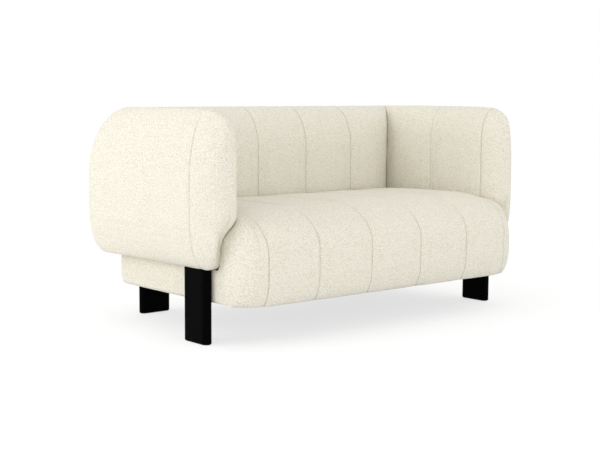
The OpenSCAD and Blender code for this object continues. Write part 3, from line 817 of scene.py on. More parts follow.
@dataclass
class WrapSection:
    """Section of the arms and back, and the plan lines that it follows, on the sofa's right half."""

    foot_inner_reach: float = 0.016
    foot_outer_reach: float = 0.06
    foot_outer_rise: float = 0.15
    recess_depth: float = 0.068
    recess_rise: float = 0.162
    recess_step: float = 0.082
    recess_angle: float = 30.0
    crest_reach: float = 0.08
    crest_inner_drop: float = 0.118
    back_crest_reach: float = 0.122
    back_crest_drop: float = 0.16
    corner_crest_reach: float = 0.07
    corner_crest_drop: float = 0.085
    crest_outer_drop: float = 0.25
    nose_fall: float = 0.002
    arm_rise: float = 0.0025
    tip_drop: float = 0.078
    recess_shares: Knots = (
        (0.86, 0), (0.77, 0.06), (0.72, 0.15), (0.70, 0.30), (0.68, 0.46), (0.58, 0.65), (0.37, 0.80),
        (0.14, 0.93), (0, 1.06))
    foot_ways: Knots = ((0, 225), (0.2, 215), (0.8, 205), (1, 180))
    crest_seam_share: float = 0.3
    crease_power: float = 6
    crest_rise_angle: float = 60
    crest_fade_angle: float = 40
    outer_recess_top: float = 0.335
    outer_recess_share: float = 0.45
    outer_recess_power: float = 1.6
    outside_run: float = 0.6
    tip_lift: float = 0.014
    tip_lift_reach: float = 0.05
    face_points: int = 9
    crest_inner_points: int = 17
    crest_outer_points: int = 19
    outer_face_points: int = 4
    outer_foot_points: int = 14
    under_points: int = 3

    @property
    def foot_end(self) -> int:
        """Number of points on a section's inner foot."""
        return 2 * len(self.recess_shares) - 1

    @property
    def crest(self) -> int:
        """Index of the point after a section's crest."""
        return self.foot_end + self.face_points + self.crest_inner_points

    @property
    def outer_count(self) -> int:
        """Number of points from a section's outer face to its underside."""
        return self.outer_face_points + self.outer_foot_points + self.under_points

    def face_y(self, x: float) -> float:
        """Depth of the back's face at a place across the sofa."""
        edge = max(0.0, SIZES.inner_half - x)
        return SIZES.face_y + SIZES.corner_setback * valley(edge, SIZES.channel_pitch / 2)

    def arm_fall(self, front_share: float, rear_share: float) -> float:
        """How far an arm's crest comes down at shares of the way from its seam to the nose and the back."""
        return self.nose_fall * front_share ** 2 - self.arm_rise * (1 - rear_share ** 2)

    def recess_at(self, z: float | np.ndarray) -> float | np.ndarray:
        """How far the nose is drawn in at a height."""
        shares, rises = np.array(self.recess_shares).T
        return np.interp(z, SIZES.arm_underside + rises * self.recess_rise, shares * self.recess_depth)

    def reach_at(self, z: float | np.ndarray) -> float | np.ndarray:
        """How far the nose reaches forwards at a height."""
        return SIZES.nose_length - self.recess_step / self.recess_depth * self.recess_at(z)

    def nose_depth(self, x: float, z: float) -> float:
        """Depth of the nose's surface inside its outline.

        Args:
            x: Place across the sofa.
            z: Height.

        Returns:
            The surface's place along Y.
        """
        s = SIZES
        narrow = s.arm_thickness / 2 - self.recess_at(z)
        across = min(math.cos(math.radians(self.recess_angle)), (s.arm_centre_x - x) / narrow)
        return s.nose_start_y - self.reach_at(z) * math.sqrt(1 - across ** 2)

    def lowered(self, z: np.ndarray, fall: float) -> np.ndarray:
        """Heights after the crest has come down, with the lower half left alone.

        Args:
            z: Heights before.
            fall: How far the crest comes down.

        Returns:
            Heights after.
        """
        s = SIZES
        upper = s.middle_height + (z - s.middle_height) * (1 - fall / (s.height - s.middle_height))
        return np.where(z < s.middle_height, z, upper)

    def outline(self, thickness: float, crest: float, drop: float, recess_share: float) -> Outline:
        """The section, drawn with its inner face at 0.

        Args:
            thickness: Thickness of the arm or back.
            crest: Distance from the inner face to the crest.
            drop: Drop of the rounding on the crest's inner side.
            recess_share: Share of the nose's recess in the foot.

        Returns:
            Points, their outward directions, and the share of the inner side in each.
        """
        s = SIZES
        places = np.linspace(0, 1, self.foot_end)
        shares, rises = [np.interp(places, np.linspace(0, 1, len(line)), line)
                         for line in zip(*self.recess_shares)]
        foot_depth = self.foot_inner_reach + (self.recess_depth - self.foot_inner_reach) * recess_share
        foot = np.stack([foot_depth * shares, s.arm_underside + rises * self.recess_rise], axis=1)
        inner = arc((crest, s.height - drop), crest, drop, 180, 90, self.crest_inner_points)
        outer = arc((crest, s.height - self.crest_outer_drop), thickness - crest, self.crest_outer_drop,
                    90, 0, self.crest_outer_points + 1)[1:]
        low = arc((thickness - self.foot_outer_reach, s.arm_underside + self.foot_outer_rise),
                  self.foot_outer_reach, self.foot_outer_rise, 0, -90, self.outer_foot_points)
        points = np.concatenate([
            foot, between(foot[-1], inner[0], self.face_points), inner, outer,
            between(outer[-1], low[0], self.outer_face_points), low,
            between(low[-1], foot[0], self.under_points)])
        inner_ways = np.linspace(180, 90, self.crest_inner_points)
        outer_ways = np.linspace(90, 0, self.crest_outer_points + 1)[1:]
        ways = np.radians(np.concatenate([
            np.interp(places, *zip(*self.foot_ways)), np.full(self.face_points, 180.0), inner_ways,
            outer_ways, np.zeros(self.outer_face_points), np.linspace(0, -90, self.outer_foot_points),
            np.full(self.under_points, -90.0)]))
        seam_share = self.crest_seam_share
        rising = np.clip((inner_ways - 90) / self.crest_rise_angle, 0, 1) * (1 - seam_share) + seam_share
        fading = np.clip((outer_ways - 90) / self.crest_fade_angle + 1, 0, 1) * seam_share
        share = np.concatenate([
            np.ones(self.foot_end + self.face_points), rising, fading, np.zeros(self.outer_count)])
        return points, np.stack([np.cos(ways), np.sin(ways)], axis=1), share

    def drawn_in(self, section: Outline, inner_fall: float, outer_fall: float,
                 corner_fall: float = 0.0) -> np.ndarray:
        """A section's points after its seams have drawn the cloth in.

        Args:
            section: Points, directions and shares of the section.
            inner_fall: How far a seam draws in the inner side.
            outer_fall: How far a seam draws in the outer side.
            corner_fall: How far the corner's crease draws in the inner face, but not the crest.

        Returns:
            The section's points.
        """
        points, ways, share = section
        below = np.clip((share - self.crest_seam_share) / (1 - self.crest_seam_share), 0, 1)
        fall = inner_fall * share + outer_fall * (1 - share) + corner_fall * below ** self.crease_power
        return points - ways * fall[:, None]

    def nose_ring(self, angle: float, inner_fall: float, outer_fall: float) -> np.ndarray:
        """Section of an arm's nose.

        Args:
            angle: Angle round the nose, 0 where it begins and 90 at its tip.
            inner_fall: How far a seam draws in the inner side.
            outer_fall: How far a seam draws in the outer side.

        Returns:
            The section's points.
        """
        s = SIZES
        turn = math.sin(math.radians(angle))
        width_share = math.cos(math.radians(angle))
        recess_share = min(1.0, turn / math.sin(math.radians(self.recess_angle)))
        section = self.outline(s.arm_thickness, self.crest_reach, self.crest_inner_drop, recess_share)
        out, z = self.drawn_in(section, inner_fall, outer_fall).T
        low = np.clip((self.outer_recess_top - z) / (self.outer_recess_top - s.arm_underside), 0, 1)
        outer_recess = self.recess_step * self.outer_recess_share * low ** self.outer_recess_power
        outside = smooth((out / s.arm_thickness - 0.5) * 2 * width_share / self.outside_run)
        reach = self.reach_at(z) * (1 - outside) + (s.nose_length - outer_recess) * outside
        x = s.arm_centre_x + (out - s.arm_thickness / 2) * width_share
        heights = self.lowered(z, self.arm_fall(1, 0) + self.tip_drop * (1 - width_share))
        lift = np.clip(1 - (heights - s.arm_underside) / self.tip_lift_reach, 0, 1)
        heights += self.tip_lift * turn ** 3 * lift
        return np.stack([x, s.nose_start_y - reach * turn, heights], axis=1)

    def wrap_ring(self, inner: Point, outer: Point, crest: float, drop: float, falls: tuple[float, ...],
                  crest_fall: float = 0.0) -> np.ndarray:
        """Section between a point on the inner plan line and one on the outer plan line.

        Args:
            inner: Point on the inner plan line.
            outer: Point on the outer plan line.
            crest: Distance from the inner face to the crest.
            drop: Drop of the rounding on the crest's inner side.
            falls: How far the seams draw in the inner side, the outer side and the inner corner.
            crest_fall: How far the crest comes down.

        Returns:
            The section's points.
        """
        line = np.array(outer) - np.array(inner)
        thickness = float(np.linalg.norm(line))
        points = self.drawn_in(self.outline(thickness, crest, drop, 0), *falls)
        places = np.array(inner) + points[:, :1] * (line / thickness)
        return np.column_stack([places, self.lowered(points[:, 1], crest_fall)])

    def shares(self, *knots: Point) -> np.ndarray:
        """Shares at every point of a section, through knots."""
        return along(knots, self.crest + self.crest_outer_points + self.outer_count)

    @property
    def inner_strength(self) -> np.ndarray:
        """Share of a channel seam at each point of a section: the inner side and over the crest."""
        foot, crest = self.foot_end, self.crest
        return self.shares((foot - 3, 0), (foot - 2, 0.2), (foot, 1), (crest - 3, 1), (crest + 4, 0.15),
                           (crest + 5, 0))

    @property
    def crease_strength(self) -> np.ndarray:
        """Share of the corner's crease at each point of a section, gone before the crest."""
        foot, crest = self.foot_end, self.crest
        return self.shares((foot - 3, 0), (foot - 2, 1), (crest - 11, 1), (crest - 10, 0.9), (crest - 5, 0.1),
                           (crest - 4, 0))

    @property
    def outer_strength(self) -> np.ndarray:
        """Share of an outer seam at each point of a section."""
        return self.shares((self.crest, 0), (self.crest + 7, 1))

    @property
    def free_points(self) -> np.ndarray:
        """Share of the swelling that each point of a section may make.

        Returns:
            A share from 0 to 1 for each point.
        """
        foot, crest = self.foot_end, self.crest
        return self.shares((foot - 6, 0), (foot - 5, 0.1), (foot - 1, 0.9), (foot, 1), (crest - 1, 1),
                           (crest, 0.7), (crest + 30, 0.7), (crest + 31, 0.5), (crest + 33, 0.2),
                           (crest + 34, 0.1), (crest + 35, 0))


WRAP = WrapSection()


@dataclass(frozen=True)
class CornerCrease:
    """How the crease between an arm and the back draws in the inner corner and the rear behind it."""

    depth: float = 0.0028
    rear_depth: float = 0.004
    reach_share: float = 1 / 2
    rear_reach_share: float = 1 / 6

    def falls(self, gap: float, run: float) -> Point:
        """How far it draws in the outer side and the inner corner, at a distance along a channel's run."""
        outer = self.rear_depth * valley(gap, run * self.rear_reach_share)
        return outer, self.depth * valley(gap, run * self.reach_share)


CORNER = CornerCrease()


@dataclass(frozen=True)
class ArmStation:
    """A section of an arm, with its distances from the seams and the share that its padding is free."""

    ring: np.ndarray
    to_inner: float
    to_outer: float
    to_corner: float = FAR
    loose: float = 1.0


@dataclass
class ArmPad:
    """One arm, with its round nose, its middle seam and the crease where it meets the back."""

    side: Side
    nose_seam_angle: float = 18.0
    nose_seam_spread: float = 9.0
    seam_depth: float = 0.003
    seam_span: float = 0.04
    nose_hold_angle: float = 60
    nose_angles: tuple[float, ...] = (
        87, 83, 78, 73, 68, 63, 58, 53, 48, 43, 38, 34, 30.5, 27.5, 25, 23, 21.2, 19.8, 18.9, 18.3, 18,
        17.7, 17.1, 16.2, 14.8, 13, 10.8, 8.6, 6.6, 4.8, 3.2, 2.0, 1.1, 0.5)

    def outer_point(self, y: float, share: float) -> Point:
        """Point on the outer plan line beside a place on the arm's inner face.

        Args:
            y: Depth of the place.
            share: Share of the way from the middle seam to the rear corner's middle.

        Returns:
            The point.
        """
        s = SIZES
        if share == 0:
            return s.half_width, y
        past, inwards = round_corner(s.rear_y - s.rear_corner_radius - s.arm_seam_y, share)
        return s.half_width - inwards, s.arm_seam_y + past

    def main_ring(self, y: float) -> np.ndarray:
        """Section behind the nose.

        Args:
            y: Depth of the section's inner end.

        Returns:
            The section's points.
        """
        s = SIZES
        rear_run = s.inner_corner_y - s.arm_seam_y
        share = max(0.0, (y - s.arm_seam_y) / rear_run)
        front_share = max(0.0, (s.arm_seam_y - y) / (s.arm_seam_y - s.nose_start_y))
        outer_fall, corner_fall = CORNER.falls(s.inner_corner_y - y, rear_run)
        outer_fall += self.seam_depth * valley(y - s.nose_start_y, self.seam_span, SEAM_POWER)
        crest = WRAP.crest_reach + share * (WRAP.corner_crest_reach - WRAP.crest_reach)
        drop = WRAP.crest_inner_drop + share ** 2 * (WRAP.corner_crest_drop - WRAP.crest_inner_drop)
        return WRAP.wrap_ring((s.inner_half, y), self.outer_point(y, share), crest, drop,
                              (channel_fall(y - s.arm_seam_y), outer_fall, corner_fall),
                              WRAP.arm_fall(front_share, share))

    def stations(self) -> list[ArmStation]:
        """Stations of the arm, from the nose's tip to the inner corner.

        Returns:
            One entry for each section.
        """
        s = SIZES
        nose_run = math.radians(self.nose_seam_angle) * s.nose_length
        spread = 2 * self.nose_seam_spread
        rows = []
        for angle in self.nose_angles:
            run = math.radians(angle) * s.nose_length
            ring = WRAP.nose_ring(angle, s.channel_depth * valley(angle - self.nose_seam_angle, spread),
                                  self.seam_depth * valley(angle, spread))
            rows.append(ArmStation(ring, abs(run - nose_run), run,
                                   loose=min(1.0, (90 - angle) / self.nose_hold_angle)))
        for y in channel_stations(s.nose_start_y, s.arm_seam_y):
            run = y - s.nose_start_y
            rows.append(ArmStation(self.main_ring(y), min(s.arm_seam_y - y, nose_run + run), run))
        for y in (*channel_stations(s.arm_seam_y, s.inner_corner_y), s.inner_corner_y):
            ring = self.main_ring(min(y, s.inner_corner_y - CREASE_GAP))
            rows.append(ArmStation(ring, y - s.arm_seam_y, FAR, s.inner_corner_y - y))
        return rows

    def build(self) -> bpy.types.Object:
        """Builds the arm.

        Returns:
            The finished piece.
        """
        stations = self.stations()
        rings = np.array([row.ring for row in stations])
        to_inner, to_outer, to_corner, loose = np.array([
            (row.to_inner, row.to_outer, row.to_corner, row.loose) for row in stations]).T
        face_y = rings[:, WRAP.foot_end + WRAP.face_points // 2, 1]
        hold = loose * np.clip(to_inner / SEAM_HOLD, 0, 1)
        hold *= np.clip((SIZES.inner_corner_y - face_y) / CORNER_HOLD, 0, 1)
        form = PaddedForm(f"arm_pad_{self.side.word}", rings, np.zeros(rings.shape[:2]),
                          sewn_stations(to_inner), np.outer(hold, WRAP.free_points))
        Padding().swell(form)
        inner, outer = WRAP.inner_strength, WRAP.outer_strength
        distance = np.where(inner > outer, to_inner[:, None], to_outer[:, None])
        ARM_SEAM.carve(form, distance, np.maximum(inner, outer))
        CREASE.carve(form, to_corner[:, None], WRAP.crease_strength)
        if self.side is Side.LEFT:
            form.rings[:, :, 0] *= -1
        return form.closed(CRISP_RIMS).mesh_object()


@dataclass
class BackPad:
    """The back, with its sewn channels and the creases where it meets the arms."""

    def ring(self, x: float) -> np.ndarray:
        """Section of the back at one place across the sofa's right half.

        Args:
            x: Place across the sofa.

        Returns:
            The section's points.
        """
        s = SIZES
        start = s.inner_half - s.channel_pitch
        share = max(0.0, (x - start) / s.channel_pitch)
        past, inwards = round_corner(s.half_width - s.rear_corner_radius - start, share)
        outer = (min(x, start) + past, s.rear_y - inwards)
        fall = max(channel_fall(x - seam) for seam in s.channel_seams)
        falls = (fall, *CORNER.falls(s.inner_half - x, s.channel_pitch))
        crest = WRAP.back_crest_reach + share * (WRAP.corner_crest_reach - WRAP.back_crest_reach)
        drop = WRAP.back_crest_drop + share * (WRAP.corner_crest_drop - WRAP.back_crest_drop)
        return WRAP.wrap_ring((x, WRAP.face_y(x)), outer, crest, drop, falls)

    def build(self) -> bpy.types.Object:
        """Builds the back.

        Returns:
            The finished piece.
        """
        s = SIZES
        end = s.inner_half - CREASE_GAP
        places = half_stations([*(seam for seam in s.channel_seams if seam > 0), end])
        xs, rings = both_halves({x: self.ring(x) for x in (*places, end)})
        distance = np.abs(np.array(s.channel_seams)[:, None] - xs).min(axis=0)
        hold = np.clip(distance / SEAM_HOLD, 0, 1) * np.clip((end - np.abs(xs)) / CORNER_HOLD, 0, 1)
        form = PaddedForm("back_pad", rings, np.zeros(rings.shape[:2]), sewn_stations(distance),
                          np.outer(hold, WRAP.free_points))
        Padding().swell(form)
        SeamLine().carve(form, distance[:, None], WRAP.inner_strength)
        CREASE.carve(form, (s.inner_half - np.abs(xs))[:, None], WRAP.crease_strength)
        return form.closed(CRISP_RIMS).mesh_object()


@dataclass
class BaseBand:
    """Cloth round the sides and rear of the base, with a soft lower edge."""

    thickness: float = 0.0035
    lower_round: float = 0.016
    front_y: float = -0.2515
    swell: float = 0.002
    top_gap: float = 0.0005
    tuck: float = 0.012
    side_points: int = 6
    round_points: int = 7
    lining_points: int = 4
    side_steps: int = 24
    rear_steps: int = 60
    turn_steps: int = 10

    def section(self) -> np.ndarray:
        """The band's section.

        Returns:
            Distances outwards from the base's side, and heights.
        """
        bottom = SIZES.base_clearance
        top = SIZES.arm_underside - self.top_gap
        radius = self.lower_round
        centre = (-radius, bottom + radius)
        shares = np.linspace(0, 1, self.side_points + 1)[:-1]
        heights = top + (centre[1] - top) * shares
        side = np.column_stack([self.swell * np.sin(math.pi * shares), heights])
        lining = np.column_stack([np.full(self.side_points, -self.thickness), heights[::-1]])
        inner = radius - self.thickness
        tuck = [(-radius - self.tuck, bottom), (-radius - self.tuck, bottom + self.thickness)]
        return np.concatenate([side, arc(centre, radius, radius, 0, -90, self.round_points), tuck,
                               arc(centre, inner, inner, -90, 0, self.lining_points), lining])

    def build(self) -> bpy.types.Object:
        """Builds the band by drawing its section along the base's sides and rear.

        Returns:
            The finished piece.
        """
        side_x = SIZES.base_half - SIZES.base_corner_radius
        rear_y = SIZES.base_rear_y - SIZES.base_corner_radius
        side_run = Vector((0, rear_y - self.front_y, 0))
        bm = bmesh.new()
        start = [bm.verts.new((SIZES.base_half + out, self.front_y, z)) for out, z in self.section()]
        ring = [*start, *(bm.edges.new(pair) for pair in zip(start, start[1:] + start[:1]))]
        ring = self._drawn(bm, ring, side_run, self.side_steps)
        ring = self._turned(bm, ring, Vector((side_x, rear_y, 0)))
        ring = self._drawn(bm, ring, Vector((-2 * side_x, 0, 0)), self.rear_steps)
        ring = self._turned(bm, ring, Vector((-side_x, rear_y, 0)))
        self._drawn(bm, ring, -side_run, self.side_steps)
        bmesh.ops.holes_fill(bm, edges=bm.edges[:], sides=0)
        bmesh.ops.recalc_face_normals(bm, faces=bm.faces[:])
        # Empty painted-shade layer: the band gets no painted seam shade
        bm.verts.layers.float.new(SEAM_SHADE)
        return placed("base_band", bm)

    def _drawn(self, bm: bmesh.types.BMesh, ring: list, move: Vector, steps: int) -> list:
        """Extrudes a ring straight on.

        Args:
            bm: Mesh that holds the ring.
            ring: The ring's points and edges.
            move: The whole way.
            steps: Number of even steps.

        Returns:
            Points and edges of the last ring.
        """
        for _ in range(steps):
            edges = [part for part in ring if isinstance(part, bmesh.types.BMEdge)]
            out = bmesh.ops.extrude_edge_only(bm, edges=edges)["geom"]
            verts = [part for part in out if isinstance(part, bmesh.types.BMVert)]
            bmesh.ops.translate(bm, verts=verts, vec=move / steps)
            ring = [part for part in out if not isinstance(part, bmesh.types.BMFace)]
        return ring

    def _turned(self, bm: bmesh.types.BMesh, ring: list, centre: Vector) -> list:
        """Spins a ring a quarter turn round an upright line and returns the last one."""
        out = bmesh.ops.spin(bm, geom=ring, cent=centre, axis=(0, 0, 1), angle=math.radians(90),
                             steps=self.turn_steps, use_merge=False, use_duplicate=False)
        return [part for part in out["geom_last"] if not isinstance(part, bmesh.types.BMFace)]


# Materials


class Tree:
    """A node tree with short ways to add and link nodes."""

    def __init__(self, tree: bpy.types.NodeTree) -> None:
        """Keeps the tree."""
        self.tree = tree

    @classmethod
    def of(cls, owner: bpy.types.Material | bpy.types.World) -> "Tree":
        """Empties the tree of a material or the world.

        Args:
            owner: What the tree belongs to.

        Returns:
            The empty tree.
        """
        owner.use_nodes = True
        owner.node_tree.nodes.clear()
        return cls(owner.node_tree)

    def add(self, kind: str, values: dict[str | int, Feed] | None = None,
            **settings: object) -> bpy.types.Node:
        """Adds a node.

        Args:
            kind: Node type.
            values: Values or sources of its inputs by name.
            settings: Attributes of the node.

        Returns:
            The new node.
        """
        node = self.tree.nodes.new(kind)
        for name, value in settings.items():
            setattr(node, name, value)
        for name, value in (values or {}).items():
            self.feed(value, node.inputs[name])
        return node

    def feed(self, value: Feed, socket: bpy.types.NodeSocket) -> None:
        """Links an output to an input, or sets the input's value.

        Args:
            value: The output or the value.
            socket: The input.
        """
        if isinstance(value, bpy.types.NodeSocket):
            self.tree.links.new(value, socket)
        else:
            socket.default_value = value

    def math(self, operation: str, first: Feed, second: Feed, clamp: bool = False) -> bpy.types.NodeSocket:
        """Adds a Math node and returns its output."""
        node = self.add("ShaderNodeMath", {0: first, 1: second}, operation=operation, use_clamp=clamp)
        return node.outputs[0]

    def weighted(self, *parts: tuple[Feed, float]) -> bpy.types.NodeSocket:
        """Adds up values times their weights.

        Args:
            parts: Each value and its weight.

        Returns:
            The sum.
        """
        total = self.math("MULTIPLY", *parts[0])
        for part in parts[1:]:
            total = self.math("ADD", total, self.math("MULTIPLY", *part))
        return total

    def mix(self, factor: Feed, first: Feed, second: Feed) -> bpy.types.NodeSocket:
        """Adds a colour Mix node and returns its output."""
        return self.add("ShaderNodeMix", {0: factor, 6: first, 7: second}, data_type="RGBA").outputs[2]

    def span(self, value: Feed, low: float, high: float, to_low: float,
             to_high: float) -> bpy.types.NodeSocket:
        """Adds a Map Range node and returns its output."""
        values = {"Value": value, "From Min": low, "From Max": high, "To Min": to_low, "To Max": to_high}
        return self.add("ShaderNodeMapRange", values).outputs[0]

    def noise(self, place: Feed, scale: Feed, detail: float, roughness: float = 0.5,
              distortion: float = 0.0) -> bpy.types.Node:
        """Adds a Noise Texture node."""
        values = {"Vector": place, "Scale": scale, "Detail": detail, "Roughness": roughness}
        return self.add("ShaderNodeTexNoise", {**values, "Distortion": distortion})

    def cells(self, place: Feed, scale: float, randomness: float) -> bpy.types.NodeSocket:
        """Adds a Voronoi Texture node and returns the distance from each cell's middle."""
        values = {"Vector": place, "Scale": scale, "Randomness": randomness}
        return self.add("ShaderNodeTexVoronoi", values, feature="F1").outputs["Distance"]

    def place(self) -> bpy.types.NodeSocket:
        """Adds the object's own coordinates and returns them."""
        return self.add("ShaderNodeTexCoord").outputs["Object"]


class Pattern(Enum):
    """Node groups that more than one finish uses, by the names of their inputs."""

    MOTTLE = ("Place", "Size", "Fine")
    WEAVE = ("Place", "Pitch")
    GRAIN = ("Place", "Size", "Stretch")

    def group(self) -> bpy.types.NodeTree:
        """Builds the pattern's node group the first time that it is asked for.

        Returns:
            The group.
        """
        name = self.name.lower()
        found = bpy.data.node_groups.get(name)
        if found is not None:
            return found
        tree = bpy.data.node_groups.new(name, "ShaderNodeTree")
        for label in self.value:
            kind = "NodeSocketVector" if label == "Place" else "NodeSocketFloat"
            tree.interface.new_socket(name=label, in_out="INPUT", socket_type=kind)
        for label in ("Mask", "Height"):
            tree.interface.new_socket(name=label, in_out="OUTPUT", socket_type="NodeSocketFloat")
        nodes = Tree(tree)
        source = nodes.add("NodeGroupInput").outputs
        draw = {Pattern.MOTTLE: self._mottle, Pattern.WEAVE: self._weave, Pattern.GRAIN: self._grain}[self]
        mask, height = draw(nodes, source)
        nodes.add("NodeGroupOutput", {"Mask": mask, "Height": height})
        return tree

    def _mottle(self, nodes: Tree, source: bpy.types.bpy_prop_collection) -> tuple[Feed, Feed]:
        """Clumps of loops with a finer speckle in them.

        Args:
            nodes: Tree of the group.
            source: The group's inputs.

        Returns:
            Mask and height.
        """
        clumps = nodes.noise(source["Place"], source["Size"], 3.0, 0.6).outputs[0]
        fine = nodes.noise(source["Place"], source["Fine"], 2.0, 0.6).outputs[0]
        return nodes.weighted((clumps, 0.55), (fine, 0.45)), fine

    def _weave(self, nodes: Tree, source: bpy.types.bpy_prop_collection) -> tuple[Feed, Feed]:
        """Threads that pass over and under each other.

        Args:
            nodes: Tree of the group.
            source: The group's inputs.

        Returns:
            Mask and height.
        """
        parts = nodes.add("ShaderNodeSeparateXYZ", {"Vector": source["Place"]})
        turn = nodes.math("DIVIDE", math.pi, source["Pitch"])
        waves = []
        for axis in ("X", "Y", "Z"):
            angle = nodes.math("MULTIPLY", parts.outputs[axis], turn)
            waves.append(nodes.math("ABSOLUTE", nodes.math("SINE", angle, 0.0), 0.0))
        pair = nodes.math("MAXIMUM", waves[0], waves[1])
        height = nodes.math("MULTIPLY", pair, nodes.span(waves[2], 0, 1, 0.7, 1))
        return nodes.math("SUBTRACT", 1.0, height, clamp=True), height

    def _grain(self, nodes: Tree, source: bpy.types.bpy_prop_collection) -> tuple[Feed, Feed]:
        """Long grain with pores along it.

        Args:
            nodes: Tree of the group.
            source: The group's inputs.

        Returns:
            Mask and height.
        """
        scale = nodes.add("ShaderNodeCombineXYZ", {
            "X": source["Size"], "Y": source["Stretch"], "Z": source["Size"]}).outputs[0]
        drawn = {0: source["Place"], 1: scale}
        place = nodes.add("ShaderNodeVectorMath", drawn, operation="MULTIPLY").outputs[0]
        rings = nodes.noise(place, 1.0, 4.0, 0.62, 0.6).outputs[0]
        pores = nodes.noise(place, 6.0, 2.0).outputs[0]
        return nodes.span(rings, 0.3, 0.7, 0, 1), nodes.weighted((rings, 0.6), (pores, 0.4))


class Surface(Tree):
    """A material's tree, with its shader and short ways to feed it."""

    def __init__(self, tree: bpy.types.NodeTree) -> None:
        """Adds the shader and the output.

        Args:
            tree: The material's empty tree.
        """
        super().__init__(tree)
        self.shader = self.add("ShaderNodeBsdfPrincipled")
        self.add("ShaderNodeOutputMaterial", {"Surface": self.shader.outputs[0]})

    def pattern(self, pattern: Pattern, place: bpy.types.NodeSocket | None = None,
                **values: float) -> bpy.types.bpy_prop_collection:
        """Places a pattern's group.

        Args:
            pattern: Pattern to place.
            place: Coordinates that it is drawn in, or None for the object's own.
            values: Values of the group's other inputs by name.

        Returns:
            The group's outputs.
        """
        source = self.place() if place is None else place
        return self.add("ShaderNodeGroup", {"Place": source, **values}, node_tree=pattern.group()).outputs

    def paint(self, mask: Feed, first: Feed, second: Feed) -> None:
        """Mixes the shader's colour from two colours."""
        self.feed(self.mix(mask, first, second), self.shader.inputs["Base Color"])

    def rough(self, value: Feed, low: float, high: float, to_low: float, to_high: float) -> None:
        """Maps a value to the shader's roughness."""
        self.feed(self.span(value, low, high, to_low, to_high), self.shader.inputs["Roughness"])

    def fix(self, **values: float) -> None:
        """Sets constants on the shader, named as its inputs with underscores for spaces."""
        for name, value in values.items():
            self.shader.inputs[name.replace("_", " ")].default_value = value

    def bump(self, height: Feed, strength: float, distance: float) -> None:
        """Feeds a height through a Bump node to the shader's normal."""
        node = self.add("ShaderNodeBump", {"Height": height, "Strength": strength, "Distance": distance})
        self.feed(node.outputs[0], self.shader.inputs["Normal"])


def rgba(colour: Colour) -> tuple[float, float, float, float]:
    """A colour with full opacity."""
    return (*colour, 1.0)


@dataclass(frozen=True)
class Finish:
    """What every finish has: a name, two colours and a roughness."""

    name: str
    colour: Colour
    shade: Colour
    roughness: float = 0.6

    def material(self) -> bpy.types.Material:
        """Builds the finish's material the first time that it is asked for.

        Returns:
            The material.
        """
        found = bpy.data.materials.get(self.name)
        if found is not None:
            return found
        made = bpy.data.materials.new(self.name)
        surface = Surface.of(made)
        surface.fix(Roughness=self.roughness)
        self.dress(surface, rgba(self.colour), rgba(self.shade))
        return made

    def dress(self, surface: Surface, colour: Feed, shade: Feed) -> None:
        """Feeds the shader; each finish has its own way."""
        raise NotImplementedError


@dataclass(frozen=True)
class LoopedCloth(Finish):
    """Cream cloth of small wool loops, with painted shade between the loops and along its seams.

    A span holds two values and the two that they turn into.
    """

    seam_shade_colour: Colour = (0.16, 0.13, 0.09)
    loop_scale: float = 250.0
    loop_randomness: float = 0.8
    thread_scale: float = 520.0
    clump_scale: float = 60.0
    fine_share: float = 1.3
    warp_scale: float = 140.0
    warp_shift: float = 0.0025
    height: float = 0.0030
    height_shares: Place = (0.7, 0.25, 0.55)
    loop_hollow_shade: Span = (0.22, 0.82, 0, 1.0)
    thread_hollow_shade: Span = (0.3, 0.8, 0, 0.2)
    patch: Span = (0.38, 0.62, 0.04, 0)
    seam_shade_span: Span = (0.1, 1.0, 0, 0.85)

    def dress(self, surface: Surface, colour: Feed, shade: Feed) -> None:
        """Feeds colour and bump from loops and clumps, with painted shade between the loops and in the seams'
        grooves.

        Args:
            surface: Tree with the shader.
            colour: Colour of the loops.
            shade: Painted shade colour between the loops.
        """
        place = surface.place()
        warp = surface.noise(place, self.warp_scale, 1.0).outputs["Color"]
        shift = surface.add("ShaderNodeVectorMath", {0: warp, "Scale": self.warp_shift}, operation="SCALE")
        moved = {0: place, 1: shift.outputs[0]}
        bent = surface.add("ShaderNodeVectorMath", moved, operation="ADD").outputs[0]
        loops = surface.cells(bent, self.loop_scale, self.loop_randomness)
        threads = surface.cells(bent, self.thread_scale, 1.0)
        clumps = surface.pattern(Pattern.MOTTLE, place, Size=self.clump_scale,
                                 Fine=self.loop_scale * self.fine_share)["Mask"]
        # Painted shade in the hollows between loops and threads, plus the clumps' mottled tone
        hollow_shade = surface.math("ADD", surface.span(loops, *self.loop_hollow_shade),
                              surface.span(threads, *self.thread_hollow_shade))
        shade_and_mottle = surface.math("ADD", hollow_shade, surface.span(clumps, *self.patch), clamp=True)
        # The seam attribute mixes painted groove shade, in the seam's dark colour, into the cloth
        mark = surface.add("ShaderNodeAttribute", attribute_name=SEAM_SHADE).outputs["Fac"]
        surface.paint(surface.span(mark, *self.seam_shade_span), surface.mix(shade_and_mottle, colour, shade),
                      rgba(self.seam_shade_colour))
        surface.fix(Sheen_Weight=0.12, Sheen_Roughness=0.6, Specular_IOR_Level=0.18)
        surface.rough(shade_and_mottle, 0, 1, self.roughness, 1.0)
        loop_top, thread_top = (surface.math("SUBTRACT", 1.0, cells) for cells in (loops, threads))
        tops = zip((loop_top, thread_top, clumps), self.height_shares)
        surface.bump(surface.weighted(*tops), 1.0, self.height)


